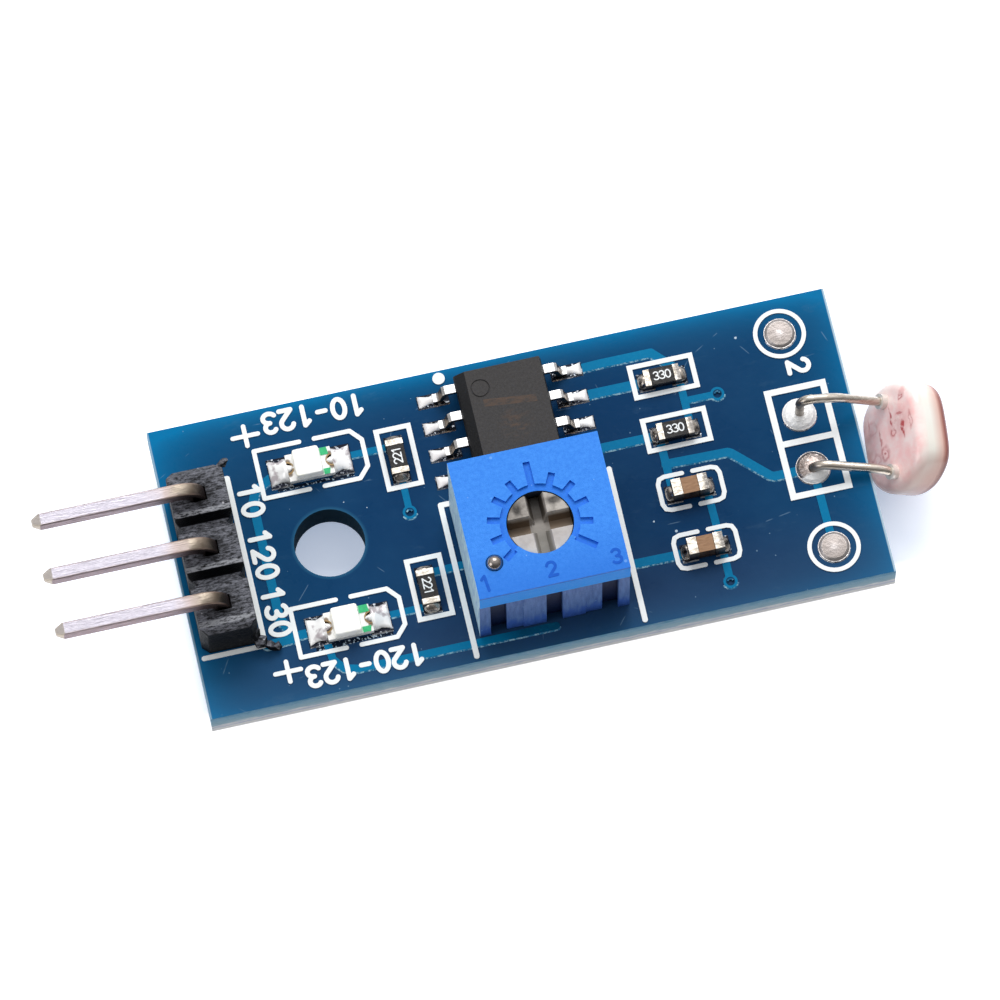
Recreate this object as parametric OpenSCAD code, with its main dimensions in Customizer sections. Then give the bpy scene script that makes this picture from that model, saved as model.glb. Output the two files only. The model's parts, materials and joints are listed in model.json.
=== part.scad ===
// Light sensor module: a small board with a light dependent resistor at its right end,
// a comparator, a turning trimmer, chip parts, two lamps and a bent pin header at its left end.
// Millimetres. +X runs along the board towards the light sensor, +Y across it, +Z up
// out of the component side. The origin is the mounting hole's axis at the underside.

/* [Board] */
// Length of the board along X
board_l = 30.3; // [28:0.1:36]
// Width of the board along Y
board_w = 13.5; // [13:0.1:18]
// Thickness of the board
board_t = 1.6; // [0.8:0.1:2.4]
// Diameter of the mounting hole
mount_hole_d = 3.1; // [2.2:0.1:3.4]
// Distance of the mounting hole from the left edge
mount_hole_in = 6.7; // [5.5:0.1:8]
// Thickness of the tinned pads
pad_t = 0.05; // [0.03:0.01:0.1]
// Thickness of the copper tracks under the mask
track_t = 0.03; // [0.02:0.01:0.08]
// Thickness of the white print
print_t = 0.05; // [0.04:0.01:0.08]
// Width of a fine printed line
print_w = 0.2; // [0.12:0.01:0.3]
// Width of a bold printed line
bold_w = 0.28; // [0.15:0.01:0.35]
// Width of a copper track
track_w = 0.4; // [0.2:0.02:0.5]
// Outer diameter of a via's ring
via_d = 0.62; // [0.5:0.02:0.9]
// Hole of a via
via_hole_d = 0.3; // [0.2:0.02:0.4]
// Length of the soldered pin tails under the board
tail_l = 1.2; // [0.8:0.1:2]

/* [Header] */
// Pitch of the header pins
pin_pitch = 2.54; // [2:0.02:2.6]
// Side of a square header pin
pin_side = 0.6; // [0.5:0.02:0.66]
// Distance of the pin row from the board's left edge
header_in = 1.55; // [1.4:0.05:2.2]
// Width of the moulded strip
strip_w = 2.5; // [2.2:0.05:2.6]
// Height of the moulded strip
strip_h = 2.5; // [2:0.05:2.6]
// Height of the pins' lying arms above the board, to their middle
arm_z = 3.25; // [3.1:0.05:4.5]
// Reach of the arms past the board's left edge
arm_reach = 5.75; // [4:0.05:8]
// Inside radius of the pins' bend
bend_r = 0.65; // [0.2:0.05:0.8]
// Width of the notch between two ways of the strip
notch_w = 0.75; // [0.4:0.05:0.9]
// Depth of that notch
notch_h = 0.6; // [0.3:0.05:1]
// Hole in the board for a header pin
header_hole_d = 1.0; // [0.95:0.05:1.1]

/* [Trimmer] */
// Length of the trimmer along X
trimmer_l = 6.6; // [6.3:0.05:7]
// Width of the trimmer along Y
trimmer_w = 6.36; // [6.2:0.02:6.9]
// Height of the trimmer
trimmer_h = 5.1; // [4.9:0.05:5.6]
// Distance of its middle from the mounting hole along X
trimmer_x = 8.715; // [8.3:0.05:9.5]
// Distance of its middle from the board's middle towards the front
trimmer_front = 2.6; // [2.5:0.05:2.8]
// Thickness of the case's walls
case_wall = 0.45; // [0.3:0.05:0.5]
// Distance of the outer pins from the case's sides
trimmer_pin_in = 0.76; // [0.75:0.01:0.9]
// Thickness of the case's top plate
lip_t = 1.2; // [1:0.05:1.4]
// Overhang of the top plate past the ribs
lip_over = 0.12; // [0.05:0.01:0.2]
// Diameter of the adjusting window
window_d = 2.9; // [2.4:0.05:3.2]
// Offset of the window from the case's middle towards the front
window_front = 0.3; // [0:0.05:0.4]
// Running clearance between rotor and window, on the radius
rotor_gap = 0.04; // [0.02:0.01:0.1]
// Depth of the rotor's face below the top plate
rotor_sink = 0.15; // [0.1:0.05:0.6]
// Width of the screwdriver slots at their bottom
slot_w = 0.38; // [0.3:0.02:0.6]
// Width of the screwdriver slots at the rotor's face
slot_open_w = 0.8; // [0.7:0.02:0.9]
// Depth of the screwdriver slots
slot_h = 0.65; // [0.4:0.05:0.8]
// Diameter of the rotor's flange
flange_d = 3.86; // [3.6:0.02:4.1]
// Thickness of the rotor's flange
flange_t = 1.1; // [0.8:0.05:1.2]
// Depth of the engraved dial
dial_depth = 0.12; // [0.05:0.01:0.2]
// Width of an engraved dial mark
dial_w = 0.3; // [0.15:0.01:0.35]
// Reach of a dial mark from the window's axis
dial_r = 2.27; // [2:0.01:2.4]
// Width of the engraved ring between the window and the marks
dial_ring = 0.28; // [0.15:0.01:0.35]
// Angle between two dial marks
dial_step = 25.4; // [20:0.1:26]
// Width of the gaps between the ribs
rib_gap = 0.72; // [0.5:0.02:0.8]
// Depth of the gaps between the ribs
rib_depth = 0.35; // [0.2:0.05:0.4]
// Width of the stepped part of a rib
rib_step_w = 0.73; // [0.5:0.01:0.8]
// Depth of that step
rib_step = 0.06; // [0.03:0.01:0.1]
// Thickness of the resistance element
element_t = 0.6; // [0.4:0.05:0.8]
// Diameter of a trimmer pin
trimmer_pin_d = 0.5; // [0.4:0.02:0.6]
// Diameter of the steel ball
ball_d = 0.74; // [0.6:0.02:0.9]
// Distance of the ball from the case's left side
ball_in = 0.985; // [0.7:0.005:1.2]
// Distance of the ball from the case's front
ball_front = 1.48; // [1.2:0.02:1.8]
// Hole in the board for a trimmer pin
trimmer_hole_d = 0.8; // [0.7:0.05:0.9]

/* [Comparator] */
// Pitch of the comparator's leads
lead_pitch = 1.27; // [1.27:0.01:1.28]
// Distance of the comparator's middle from the mounting hole along X
chip_x = 8.77; // [8.4:0.05:9.2]
// Distance of its middle from the board's middle towards the back
chip_back = 3.54; // [3.5:0.02:3.8]
// Width of the comparator's body along X
chip_w = 3.9; // [3.7:0.05:4]
// Length of the comparator's body along Y
chip_l = 4.85; // [4.7:0.05:5]
// Height of the body's top above the board
chip_h = 1.5; // [1.3:0.05:1.75]
// Span over the leads' feet
lead_span = 6.0; // [5.8:0.05:6.2]
// Width of a lead
lead_w = 0.42; // [0.33:0.01:0.5]
// Thickness of a lead
lead_t = 0.2; // [0.17:0.01:0.25]
// Length of a comparator pad
chip_pad_l = 1.4; // [1.1:0.05:1.6]
// Width of a comparator pad
chip_pad_w = 0.58; // [0.5:0.02:0.7]

/* [Chip parts] */
// Length of a chip resistor or capacitor
chip_part_l = 1.6; // [1.4:0.05:1.7]
// Width of a chip resistor or capacitor
chip_part_w = 0.8; // [0.7:0.02:0.9]
// Height of a chip resistor
resistor_h = 0.45; // [0.35:0.01:0.55]
// Height of a chip capacitor
capacitor_h = 0.8; // [0.6:0.02:0.9]
// Length of a resistor's end cap
resistor_cap_l = 0.28; // [0.2:0.01:0.4]
// Length of a capacitor's end cap
capacitor_cap_l = 0.44; // [0.3:0.01:0.5]
// Thickness of an end cap's plating
cap_t = 0.03; // [0.02:0.01:0.05]
// Distance of the right-hand chip parts from the mounting hole
parts_right_x = 15.75; // [15.5:0.05:16.5]
// Distance of the upright resistors from the mounting hole
parts_left_x = 3.69; // [3.55:0.02:3.8]

/* [Lamps] */
// Length of a lamp's carrier
lamp_l = 2.0; // [1.8:0.05:2.1]
// Width of a lamp
lamp_w = 1.25; // [1.1:0.05:1.3]
// Thickness of a lamp's carrier
carrier_t = 0.3; // [0.2:0.02:0.4]
// Length of a lamp's lens
lens_l = 1.28; // [1:0.02:1.3]
// Height of a lamp's lens above its carrier
lens_h = 0.5; // [0.3:0.02:0.7]
// Distance of the lamps' middles from the board's middle
lamp_y = 3.73; // [3.6:0.02:4]

/* [Light sensor] */
// Diameter of the sensor's disc
sensor_d = 4.85; // [4.6:0.05:5.3]
// Width of the disc across its flats
sensor_flats = 4.15; // [4:0.05:4.5]
// Thickness of the coated disc
sensor_t = 1.95; // [1.5:0.05:2.2]
// Radius of the disc's rounded edge
sensor_round = 0.6; // [0.3:0.05:0.6]
// Tilt of the disc, its face turned down
sensor_tilt = 33; // [30:1:42]
// Distance of the lead holes from the board's right edge
sensor_in = 2.4; // [2.2:0.05:3]
// Pitch of the lead holes
sensor_pitch = 2.54; // [2.4:0.02:2.6]
// Distance of the disc's back from the board's right edge
sensor_out = 1.2; // [1.1:0.02:1.8]
// Shift of the hanging disc towards the front
sensor_shift = 0.6; // [0.4:0.05:0.7]
// Drop of the disc's middle below the board's top face
sensor_drop = 0.05; // [0:0.05:0.3]
// Spacing of the leads at the disc
sensor_lead_gap = 3.25; // [3.2:0.05:3.5]
// Width of a tooth of the electrodes on the sensing face
tooth_w = 0.16; // [0.1:0.02:0.24]
// Spacing of the teeth of one comb
tooth_step = 0.72; // [0.6:0.02:0.8]
// Reach of the teeth past the face's middle
tooth_reach = 0.35; // [0.2:0.05:0.8]
// Width of the bar that joins a comb's teeth
comb_bar_w = 0.33; // [0.2:0.01:0.5]
// Diameter of the sensor's wire leads
wire_d = 0.42; // [0.36:0.02:0.5]
// Hole in the board for a wire lead
wire_hole_d = 0.8; // [0.7:0.05:0.9]
// Diameter of the solder-filled spare holes
spare_hole_d = 1.0; // [0.8:0.05:1.1]
// Diameter of the round pads at the right end
round_pad_d = 1.5; // [1.4:0.05:1.6]

/* [Hidden] */

$fn = 32;
over = 0.5;                       // how far a cutter runs past what it cuts
fit = 0.01;                       // gap between pieces that are set into each other

left_x = -mount_hole_in;
right_x = board_l - mount_hole_in;
front_y = -board_w / 2;
back_y = board_w / 2;

header_x = left_x + header_in;
pin_y = [pin_pitch, 0, -pin_pitch];
header_holes = [for (y = pin_y) [header_x, y]];
header_pad_d = header_hole_d + 0.8;
trimmer_pad_d = trimmer_hole_d + 0.8;
cone_h = tail_l * 0.75;             // height of a soldered cone under the board

trimmer_y = -trimmer_front;
rotor_y = trimmer_y - window_front;
pin_spread = trimmer_l / 2 - trimmer_pin_in;
trimmer_holes = [[trimmer_x - pin_spread, trimmer_y - pin_spread / 2],
    [trimmer_x, trimmer_y + pin_spread / 2], [trimmer_x + pin_spread, trimmer_y - pin_spread / 2]];
trimmer_top = board_t + trimmer_h;
lip_z = trimmer_top - lip_t;
case_w = trimmer_w - 2 * lip_over;
flange_play = 0.05;                 // gap between the rotor's flange and the top plate
flange_top = lip_z - flange_play;
flange_z = flange_top - flange_t;
wiper_t = 0.15;
foot_h = 0.12;
contact_gap = 0.03;
element_top = flange_z - wiper_t - foot_h - contact_gap;
element_z = element_top - element_t;
base_in = 0.25;                     // how far the sealing base lies above the board
base_z = board_t + base_in;
case_stand = 0.06;                  // gap between the case's walls and the board
case_foot = 0.5;                    // side of the case's four feet
rotor_bore_d = flange_d + 2 * rotor_gap + 2 * case_stand;
pocket_l = trimmer_l - 2 * case_wall;
pocket_w = case_w - 2 * (rib_depth + case_wall);

sensor_x = right_x - sensor_in;
sensor_mid_y = -0.05;
sensor_holes = [[sensor_x, sensor_mid_y + sensor_pitch / 2],
    [sensor_x, sensor_mid_y - sensor_pitch / 2]];
spare_x = right_x - 2.36;
spare_ring_d = 2.32;
spare_holes = [[spare_x, back_y - 1.66], [spare_x, front_y + 1.68]];
vias = [[parts_left_x, 0.6], [parts_right_x + 2.2, 2.97], [parts_right_x + 0.76, front_y + 1.14]];

chip_y = chip_back;
lead_row = [for (i = [0:3]) chip_y + (1.5 - i) * lead_pitch];
past_lead = 0.68;                   // how far a comparator pad runs past its lead's toe
pad_out = lead_span / 2 + past_lead;
pad_in = pad_out - chip_pad_l;

resistor_places = [[parts_right_x, chip_y + 0.65, 0], [parts_right_x, chip_y - 1.9, 0],
    [parts_left_x, 3.1, 90], [parts_left_x, -3.06, 90]];
capacitor_places = [[parts_right_x, -1.15, 0], [parts_right_x + 0.04, -3.93, 0]];
lamp_places = [[-0.08, lamp_y - 0.1, 0], [0, -lamp_y - 0.12, 0]];
past_part = 0.28;                   // how far a chip part's pad runs past its end
part_reach = chip_part_l / 2 + past_part;
part_pad_l = 0.7;
past_lamp = 0.84;                   // how far a lamp's pad runs past its end
lamp_reach = lamp_l / 2 + past_lamp;
lamp_pad_l = 0.95;

// Small helpers

module at(p) translate([p[0], p[1], 0]) rotate([0, 0, len(p) > 2 ? p[2] : 0]) children();

// a profile drawn in X and Z, given its thickness along Y and centred on it
module along_y(w) rotate([90, 0, 0]) linear_extrude(w, center = true) children();

module rect(x0, x1, y0, y1) translate([x0, y0]) square([x1 - x0, y1 - y0]);

// a stroke from point a to point b
module stroke(a, b, w) {
    d = b - a;
    translate(a) rotate(atan2(d[1], d[0])) translate([0, -w / 2]) square([norm(d), w]);
}

// a line through a list of points, round at its ends and corners
module line(points, w) {
    for (i = [0:len(points) - 2]) stroke(points[i], points[i + 1], w);
    for (p = points) translate(p) circle(d = w, $fn = 16);
}

module box_mid(size, z) translate([-size[0] / 2, -size[1] / 2, z]) cube(size);

// Plan shapes on the board

module all_holes() {
    circle(d = mount_hole_d, $fn = 64);
    for (p = header_holes) translate(p) circle(d = header_hole_d);
    for (p = trimmer_holes) translate(p) circle(d = trimmer_hole_d);
    for (p = sensor_holes) translate(p) circle(d = wire_hole_d);
    for (p = spare_holes) translate(p) circle(d = spare_hole_d);
    for (p = vias) translate(p) circle(d = via_hole_d, $fn = 16);
}

module comparator_pads() for (y = lead_row, side = [-1, 1])
    translate([chip_x + side * (pad_out + pad_in) / 2, y])
        square([chip_pad_l, chip_pad_w], center = true);

// the two pads of a chip part or lamp that lies along X
module pair_pads(reach, l, w) for (side = [-1, 1])
    translate([side * (reach - l / 2), 0]) square([l, w], center = true);

module top_pad_shapes() {
    comparator_pads();
    for (p = resistor_places) at(p) pair_pads(part_reach, part_pad_l, chip_part_w);
    for (p = capacitor_places) at(p) pair_pads(part_reach, part_pad_l, chip_part_w);
    for (p = lamp_places) at(p) pair_pads(lamp_reach, lamp_pad_l, lamp_w + 0.1);
    for (p = sensor_holes) translate(p) circle(d = round_pad_d);
    for (p = spare_holes) translate(p) circle(d = round_pad_d - 0.1);
}

module top_track_shapes() {
    r1 = resistor_places[0];
    r2 = resistor_places[1];
    r3 = resistor_places[2];
    r4 = resistor_places[3];
    c1 = capacitor_places[0];
    c2 = capacitor_places[1];
    end = part_reach - part_pad_l / 2;
    l1 = lamp_places[0];
    l2 = lamp_places[1];
    out = chip_x + pad_out - 0.2;
    case_right = trimmer_x + trimmer_l / 2 + 0.1;
    case_left = trimmer_x - trimmer_l / 2 - 0.1;
    edge_y = front_y + 0.84;
    column = header_x + 2.3;
    run_y = back_y - 1.27;
    line([[out, lead_row[0]], [out + 1, run_y], [r1[0] - 0.2, run_y], [r1[0] + end, r1[1] + 0.3]], track_w);
    line([[out, lead_row[1]], [r1[0] - end, lead_row[1]]], track_w + 0.04);
    line([[out, lead_row[3]], [r2[0] - end, r2[1]]], track_w);
    line([[r1[0] + end, r1[1]], [r2[0] + end, r2[1]]], track_w - 0.06);
    line([[r1[0] + end, vias[1][1]], vias[1]], track_w - 0.1);
    line([[r2[0] - end, r2[1]], [c1[0] - end, c1[1]]], track_w - 0.04);
    line([[r2[0] - end, 0.28], [r2[0] + 2, 0.22], [r2[0] + 2.15, 0.14],
        [r2[0] + 3.56, sensor_holes[1][1] + 0.08], [r2[0] + 3.72, sensor_holes[1][1]],
        sensor_holes[1]], track_w);
    line([[c1[0] + end, c1[1]], [c2[0] + end, c2[1]], vias[2]], track_w - 0.06);
    line([[case_right, c2[1] + 0.03], [c2[0] - end, c2[1]]], track_w);
    line([sensor_holes[1], spare_holes[1]], track_w - 0.04);
    line([[l1[0] + lamp_reach - 0.3, l1[1] + 0.12], [r3[0], l1[1] + 0.12]], track_w - 0.1);
    line([[r3[0], r3[1] - end], vias[0]], track_w - 0.1);
    line([[r4[0], r4[1] + end], [case_left, r4[1] + end + 0.05]], track_w - 0.06);
    line([[l2[0] + lamp_reach - 0.3, l2[1] + 0.03], [r4[0], l2[1] + 0.05]], track_w - 0.1);
    line([[l2[0] - 1.1, l2[1] - 0.4], [l2[0] - 1.0, edge_y + 0.65], [l2[0] - 0.6, edge_y + 0.15],
        [l2[0], edge_y], [trimmer_x, edge_y]], track_w - 0.06);
    line([[l1[0] - lamp_reach + 0.3, l1[1]], [column + 0.2, l1[1] - 0.6], [column, l1[1] - 1.1],
        [column, -2.9], [column + 0.45, l2[1]], [l2[0] - lamp_reach + 0.3, l2[1]]], track_w);
    line([[left_x + 3.1, front_y + 2.75], [column + 0.45, l2[1] - 0.1]], track_w);
    for (p = vias) translate(p) circle(d = via_d, $fn = 24);
}

module bottom_pad_shapes() {
    for (p = header_holes) translate(p) circle(d = header_pad_d);
    for (p = trimmer_holes) translate(p) circle(d = trimmer_pad_d);
    for (p = sensor_holes) translate(p) circle(d = round_pad_d);
    for (p = spare_holes) translate(p) circle(d = round_pad_d);
}

module bottom_track_shapes() {
    line([header_holes[0], [header_x + 2, front_y + 10.5], [vias[0][0] - 1, back_y - 3.2],
        [vias[0][0], vias[0][1]]], track_w);
    line([header_holes[2], [header_x + 2, front_y + 1.2], [vias[2][0], front_y + 0.9], vias[2]], track_w);
    line([vias[1], [sensor_x - 1.4, 0.8], sensor_holes[0]], track_w);
    line([trimmer_holes[1], [trimmer_x + 2, chip_y], [chip_x + 4, chip_y]], track_w);
    line([trimmer_holes[0], [trimmer_x - 4, front_y + 3]], track_w);
    for (p = vias) translate(p) circle(d = via_d, $fn = 24);
}

// White print

module frame_lines(x0, x1, y0, y1, w) difference() {
    rect(x0, x1, y0, y1);
    rect(x0 + w, x1 - w, y0 + w, y1 - w);
}

module resistor_print() frame_lines(-1.47, 1.47, -0.83, 0.83, print_w + 0.02);

module half_bracket(side) line([for (p = [[0.24, 0.78], [1.04, 0.78], [1.27, 0.7], [1.37, 0.46],
    [1.37, -0.46], [1.27, -0.7], [1.04, -0.78], [0.24, -0.78]]) [side * p[0], p[1]]], print_w);

module lamp_print() {
    w = lamp_w / 2 + 0.5;
    line([[-0.33, w], [-2.34, w], [-2.34, -w], [-0.33, -w]], print_w);
    line([[0.34, w], [1.92, w], [2.36, w - 0.5], [2.36, 0.5 - w], [1.92, -w], [0.34, -w]], print_w);
}

module plus_sign() {
    line([[-0.56, 0], [0.56, 0]], print_w);
    line([[0, -0.46], [0, 0.46]], print_w);
}

module print_shapes() {
    strip = pin_pitch * 3 / 2 + 0.18;
    strip_x = header_x + strip_w / 2 + 0.2;
    line([[strip_x - 0.2, strip - 0.1], [strip_x, strip - 0.1], [strip_x, -strip],
        [header_x - strip_w / 2, -strip]], print_w + 0.02);
    for (p = lamp_places) translate([0.02, p[1] + 0.1]) lamp_print();
    translate([-2.53, back_y - 1.12]) plus_sign();
    translate([-3.0, front_y + 1.37]) plus_sign();
    for (p = resistor_places) at(p) translate([0.08, p[2] > 0 ? -0.08 : 0.08]) resistor_print();
    for (p = capacitor_places, side = [-1, 1])
        at(p) translate([0.08, 0.08]) half_bracket(side);
    translate([trimmer_x - 2.46, back_y - 0.38]) circle(d = 0.54);
    side_x = trimmer_l / 2 + 0.34;
    line([[trimmer_x - side_x + 0.55, trimmer_y + 3.2], [trimmer_x - side_x - 0.02, trimmer_y + 3.2],
        [trimmer_x - side_x, front_y + 0.25]], bold_w - 0.04);
    line([[trimmer_x + side_x + 0.2, trimmer_y + 3.2], [trimmer_x + side_x + 0.16, front_y + 0.25]],
        bold_w - 0.04);
    translate([sensor_x + 0.1, 0]) {
        frame_lines(-1.38, 1.38, -2.6, 2.6, bold_w);
        rect(-1.3, 1.3, -bold_w / 2, bold_w / 2);
    }
    for (p = spare_holes) translate(p) difference() {
        circle(d = spare_ring_d, $fn = 48);
        circle(d = spare_ring_d - 2 * print_w + 0.02, $fn = 48);
    }
}

// Board

module circuit_board() color([0.02, 0.2, 0.42]) linear_extrude(board_t) difference() {
    rect(left_x, right_x, front_y, back_y);
    all_holes();
}

module top_tracks() color([0.02, 0.45, 0.62]) translate([0, 0, board_t])
    linear_extrude(track_t) difference() {
        top_track_shapes();
        top_pad_shapes();
        all_holes();
    }

module top_pads() color([0.8, 0.8, 0.8]) translate([0, 0, board_t])
    linear_extrude(pad_t) difference() {
        top_pad_shapes();
        all_holes();
    }

module bottom_tracks() color([0.02, 0.45, 0.62]) translate([0, 0, -track_t])
    linear_extrude(track_t) difference() {
        bottom_track_shapes();
        bottom_pad_shapes();
        all_holes();
    }

module bottom_pads() color([0.8, 0.8, 0.8]) translate([0, 0, -pad_t])
    linear_extrude(pad_t) difference() {
        bottom_pad_shapes();
        all_holes();
    }

// The print is draped over the tracks that it crosses.
module print_marks() color([0.95, 0.95, 0.95]) translate([0, 0, board_t]) difference() {
    linear_extrude(print_t) print_shapes();
    translate([0, 0, -over]) linear_extrude(over + track_t) top_track_shapes();
}

// Header

// one way of the strip in plan, its corners cut back where the ways break apart
module strip_way(w, p, c) polygon([[-w / 2 + c, -p / 2], [w / 2 - c, -p / 2], [w / 2, -p / 2 + c],
    [w / 2, p / 2 - c], [w / 2 - c, p / 2], [-w / 2 + c, p / 2], [-w / 2, p / 2 - c], [-w / 2, -p / 2 + c]]);

hollow_l = 0.4;                     // length of the hollow below a pin's bend
hollow_h = 0.3;                     // and its depth

module header_strip() color([0.06, 0.06, 0.06]) translate([header_x, 0, board_t]) difference() {
    linear_extrude(strip_h) for (y = pin_y) translate([0, y]) strip_way(strip_w, pin_pitch, 0.3);
    for (y = pin_y) translate([0, y, strip_h / 2])
        cube([pin_side + 2 * fit, pin_side + 2 * fit, strip_h + 2 * over], center = true);
    // the hollow below each pin's bend
    for (y = pin_y) translate([-pin_side / 2 - hollow_l, y - pin_side / 2 - fit, strip_h - hollow_h])
        cube([hollow_l + fit, pin_side + 2 * fit, hollow_h + over]);
    for (y = [-pin_pitch / 2, pin_pitch / 2]) translate([0, y, strip_h]) rotate([90, 0, 90])
        linear_extrude(strip_w + 2, center = true) polygon([[-notch_w / 2, 0.01],
            [-notch_w / 5, -notch_h], [notch_w / 5, -notch_h], [notch_w / 2, 0.01]]);
    for (y = [-1.5 * pin_pitch, 1.5 * pin_pitch]) translate([0, y, strip_h]) rotate([45, 0, 0])
        cube([strip_w + 2, 0.3, 0.3], center = true);
}

// A pin in X and Z: a leg through the strip and board, a bend and a lying arm.
module pin_side_view() {
    outer = bend_r + pin_side;
    corner_z = arm_z - pin_side / 2 - bend_r;
    tip = header_x - left_x + arm_reach;
    rect(-pin_side / 2, pin_side / 2, -board_t - tail_l, corner_z);
    translate([-outer + pin_side / 2, corner_z]) intersection() {
        difference() {
            circle(r = outer, $fn = 48);
            circle(r = bend_r, $fn = 32);
        }
        square(outer + 1);
    }
    polygon([[-outer + pin_side / 2, arm_z - pin_side / 2], [-outer + pin_side / 2, arm_z + pin_side / 2],
        [-tip + 0.4, arm_z + pin_side / 2], [-tip, arm_z + 0.15],
        [-tip, arm_z - 0.15], [-tip + 0.4, arm_z - pin_side / 2]]);
}

module header_pin(i) color([0.75, 0.7, 0.68]) translate([header_x, pin_y[i - 1], board_t])
    intersection() {
        along_y(pin_side) pin_side_view();
        translate([0, 0, -board_t - tail_l - over]) linear_extrude(board_t + tail_l + arm_z + 2)
            polygon([[over, -pin_side], [over, pin_side],
                [left_x - header_x - arm_reach + 0.4 + pin_side, pin_side],
                [left_x - header_x - arm_reach, 0.15], [left_x - header_x - arm_reach, -0.15],
                [left_x - header_x - arm_reach + 0.4 + pin_side, -pin_side]]);
    }

module header_pin_1() header_pin(1);
module header_pin_2() header_pin(2);
module header_pin_3() header_pin(3);

// A soldered joint seen from the side: a plug in the hole and a cone on the pad below.
module joint_profile(hole_d, pad_d) {
    rect(0, hole_d / 2, 0, board_t);
    polygon([[0, 0], [hole_d / 2, 0], [hole_d / 2, -pad_t], [pad_d / 2, -pad_t],
        [pad_d / 2 - 0.08, -pad_t - 0.12], [pad_d / 4 + 0.06, -pad_t - cone_h * 0.45],
        [pad_d / 4 - 0.08, -cone_h], [0, -cone_h]]);
}

module header_solder() color([0.7, 0.7, 0.7]) for (p = header_holes) translate(p) difference() {
    rotate_extrude() joint_profile(header_hole_d, header_pad_d - 0.1);
    cube([pin_side, pin_side, 4 * board_t + 4 * tail_l], center = true);
}

// Trimmer

// The gaps between the ribs, in plan, on the front and back of the case.
rib_gap_x = [for (k = [-1, 0, 1]) k * (trimmer_l / 2 - 0.84)];
module rib_gaps() for (x = rib_gap_x, side = [-1, 1])
    translate([x, side * case_w / 2]) square([rib_gap, 2 * rib_depth], center = true);

// The dial: marks around the window's upper side and a ring that joins them.
// The middle mark and the last one on the right are longer than the rest.
dial_ends = 5;
function mark_reach(k) = k == 0 ? dial_r + 0.5 : k == -dial_ends ? dial_r + 0.4 : dial_r;

module dial_marks() {
    ring_r = window_d / 2 + dial_ring;
    last = 90 - dial_ends * dial_step;
    for (k = [-dial_ends:dial_ends]) rotate(90 + k * dial_step)
        rect(ring_r - 0.05, mark_reach(k), -dial_w / 2, dial_w / 2);
    difference() {
        circle(r = ring_r, $fn = 48);
        polygon(ring_r * [[0, 0], [2 * cos(last), 2 * sin(last)], [0, -4], [-2 * cos(last), 2 * sin(last)]]);
    }
}

ball_x = -trimmer_l / 2 + ball_in;
ball_y = -trimmer_w / 2 + ball_front;

module trimmer_case() color([0.15, 0.4, 0.9]) translate([trimmer_x, trimmer_y, 0]) difference() {
    union() {
        translate([0, 0, lip_z]) linear_extrude(lip_t) square([trimmer_l, trimmer_w], center = true);
        translate([0, 0, board_t + case_stand]) linear_extrude(lip_z - board_t - case_stand) difference() {
            square([trimmer_l, case_w], center = true);
            rib_gaps();
        }
        for (x = [-1, 1], y = [-1, 1])
            translate([x * (trimmer_l - case_foot) / 2, y * (case_w - case_foot) / 2, board_t + case_stand])
                cube([case_foot, case_foot, 2 * case_stand], center = true);
    }
    box_mid([pocket_l, pocket_w, element_top], 0);
    translate([0, -window_front, 0]) {
        cylinder(d = rotor_bore_d, h = lip_z, $fn = 64);
        cylinder(d = window_d, h = trimmer_top + over, $fn = 64);
        translate([0, 0, trimmer_top - dial_depth]) linear_extrude(dial_depth + over) dial_marks();
    }
    translate([ball_x, ball_y, trimmer_top - ball_d * 0.62]) cylinder(d = ball_d + 2 * fit, h = ball_d);
    // the outer part of each wide rib stands back a little
    for (x = [rib_gap_x[0] + rib_gap / 2 + rib_step_w / 2, rib_gap_x[2] - rib_gap / 2 - rib_step_w / 2],
        side = [-1, 1]) translate([x, side * case_w / 2, board_t])
            cube([rib_step_w, 2 * rib_step, 2 * (lip_z - board_t)], center = true);
}

module trimmer_element() color([0.9, 0.88, 0.82]) translate([trimmer_x, trimmer_y, 0])
    box_mid([pocket_l - 2 * fit, pocket_w - 2 * fit, element_t], element_z);

module trimmer_base() color([0.5, 0.45, 0.35]) difference() {
    translate([trimmer_x, trimmer_y, 0])
        box_mid([pocket_l - 2 * fit, pocket_w - 2 * fit, element_z - base_z], base_z);
    for (p = trimmer_holes) translate([p[0], p[1], 0]) cylinder(d = trimmer_pin_d + 2 * fit, h = trimmer_top);
}

module trimmer_pin(i) color([0.75, 0.72, 0.66]) translate(trimmer_holes[i - 1])
    translate([0, 0, -tail_l]) cylinder(d = trimmer_pin_d, h = element_z + tail_l);

module trimmer_pin_1() trimmer_pin(1);
module trimmer_pin_2() trimmer_pin(2);
module trimmer_pin_3() trimmer_pin(3);

module trimmer_rotor() color([0.86, 0.82, 0.74]) translate([trimmer_x, rotor_y, 0]) difference() {
    union() {
        translate([0, 0, flange_z]) cylinder(d = flange_d, h = flange_t, $fn = 64);
        translate([0, 0, flange_z])
            cylinder(d = window_d - 2 * rotor_gap, h = trimmer_top - rotor_sink - flange_z, $fn = 64);
    }
    // a cross of two slots whose sides slope
    for (a = [0, 90]) rotate([0, 0, a]) translate([0, 0, trimmer_top - rotor_sink]) along_y(window_d)
        polygon([[-slot_w / 2, -slot_h], [slot_w / 2, -slot_h], [slot_open_w / 2, 0],
            [slot_open_w / 2, over], [-slot_open_w / 2, over], [-slot_open_w / 2, 0]]);
}

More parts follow.
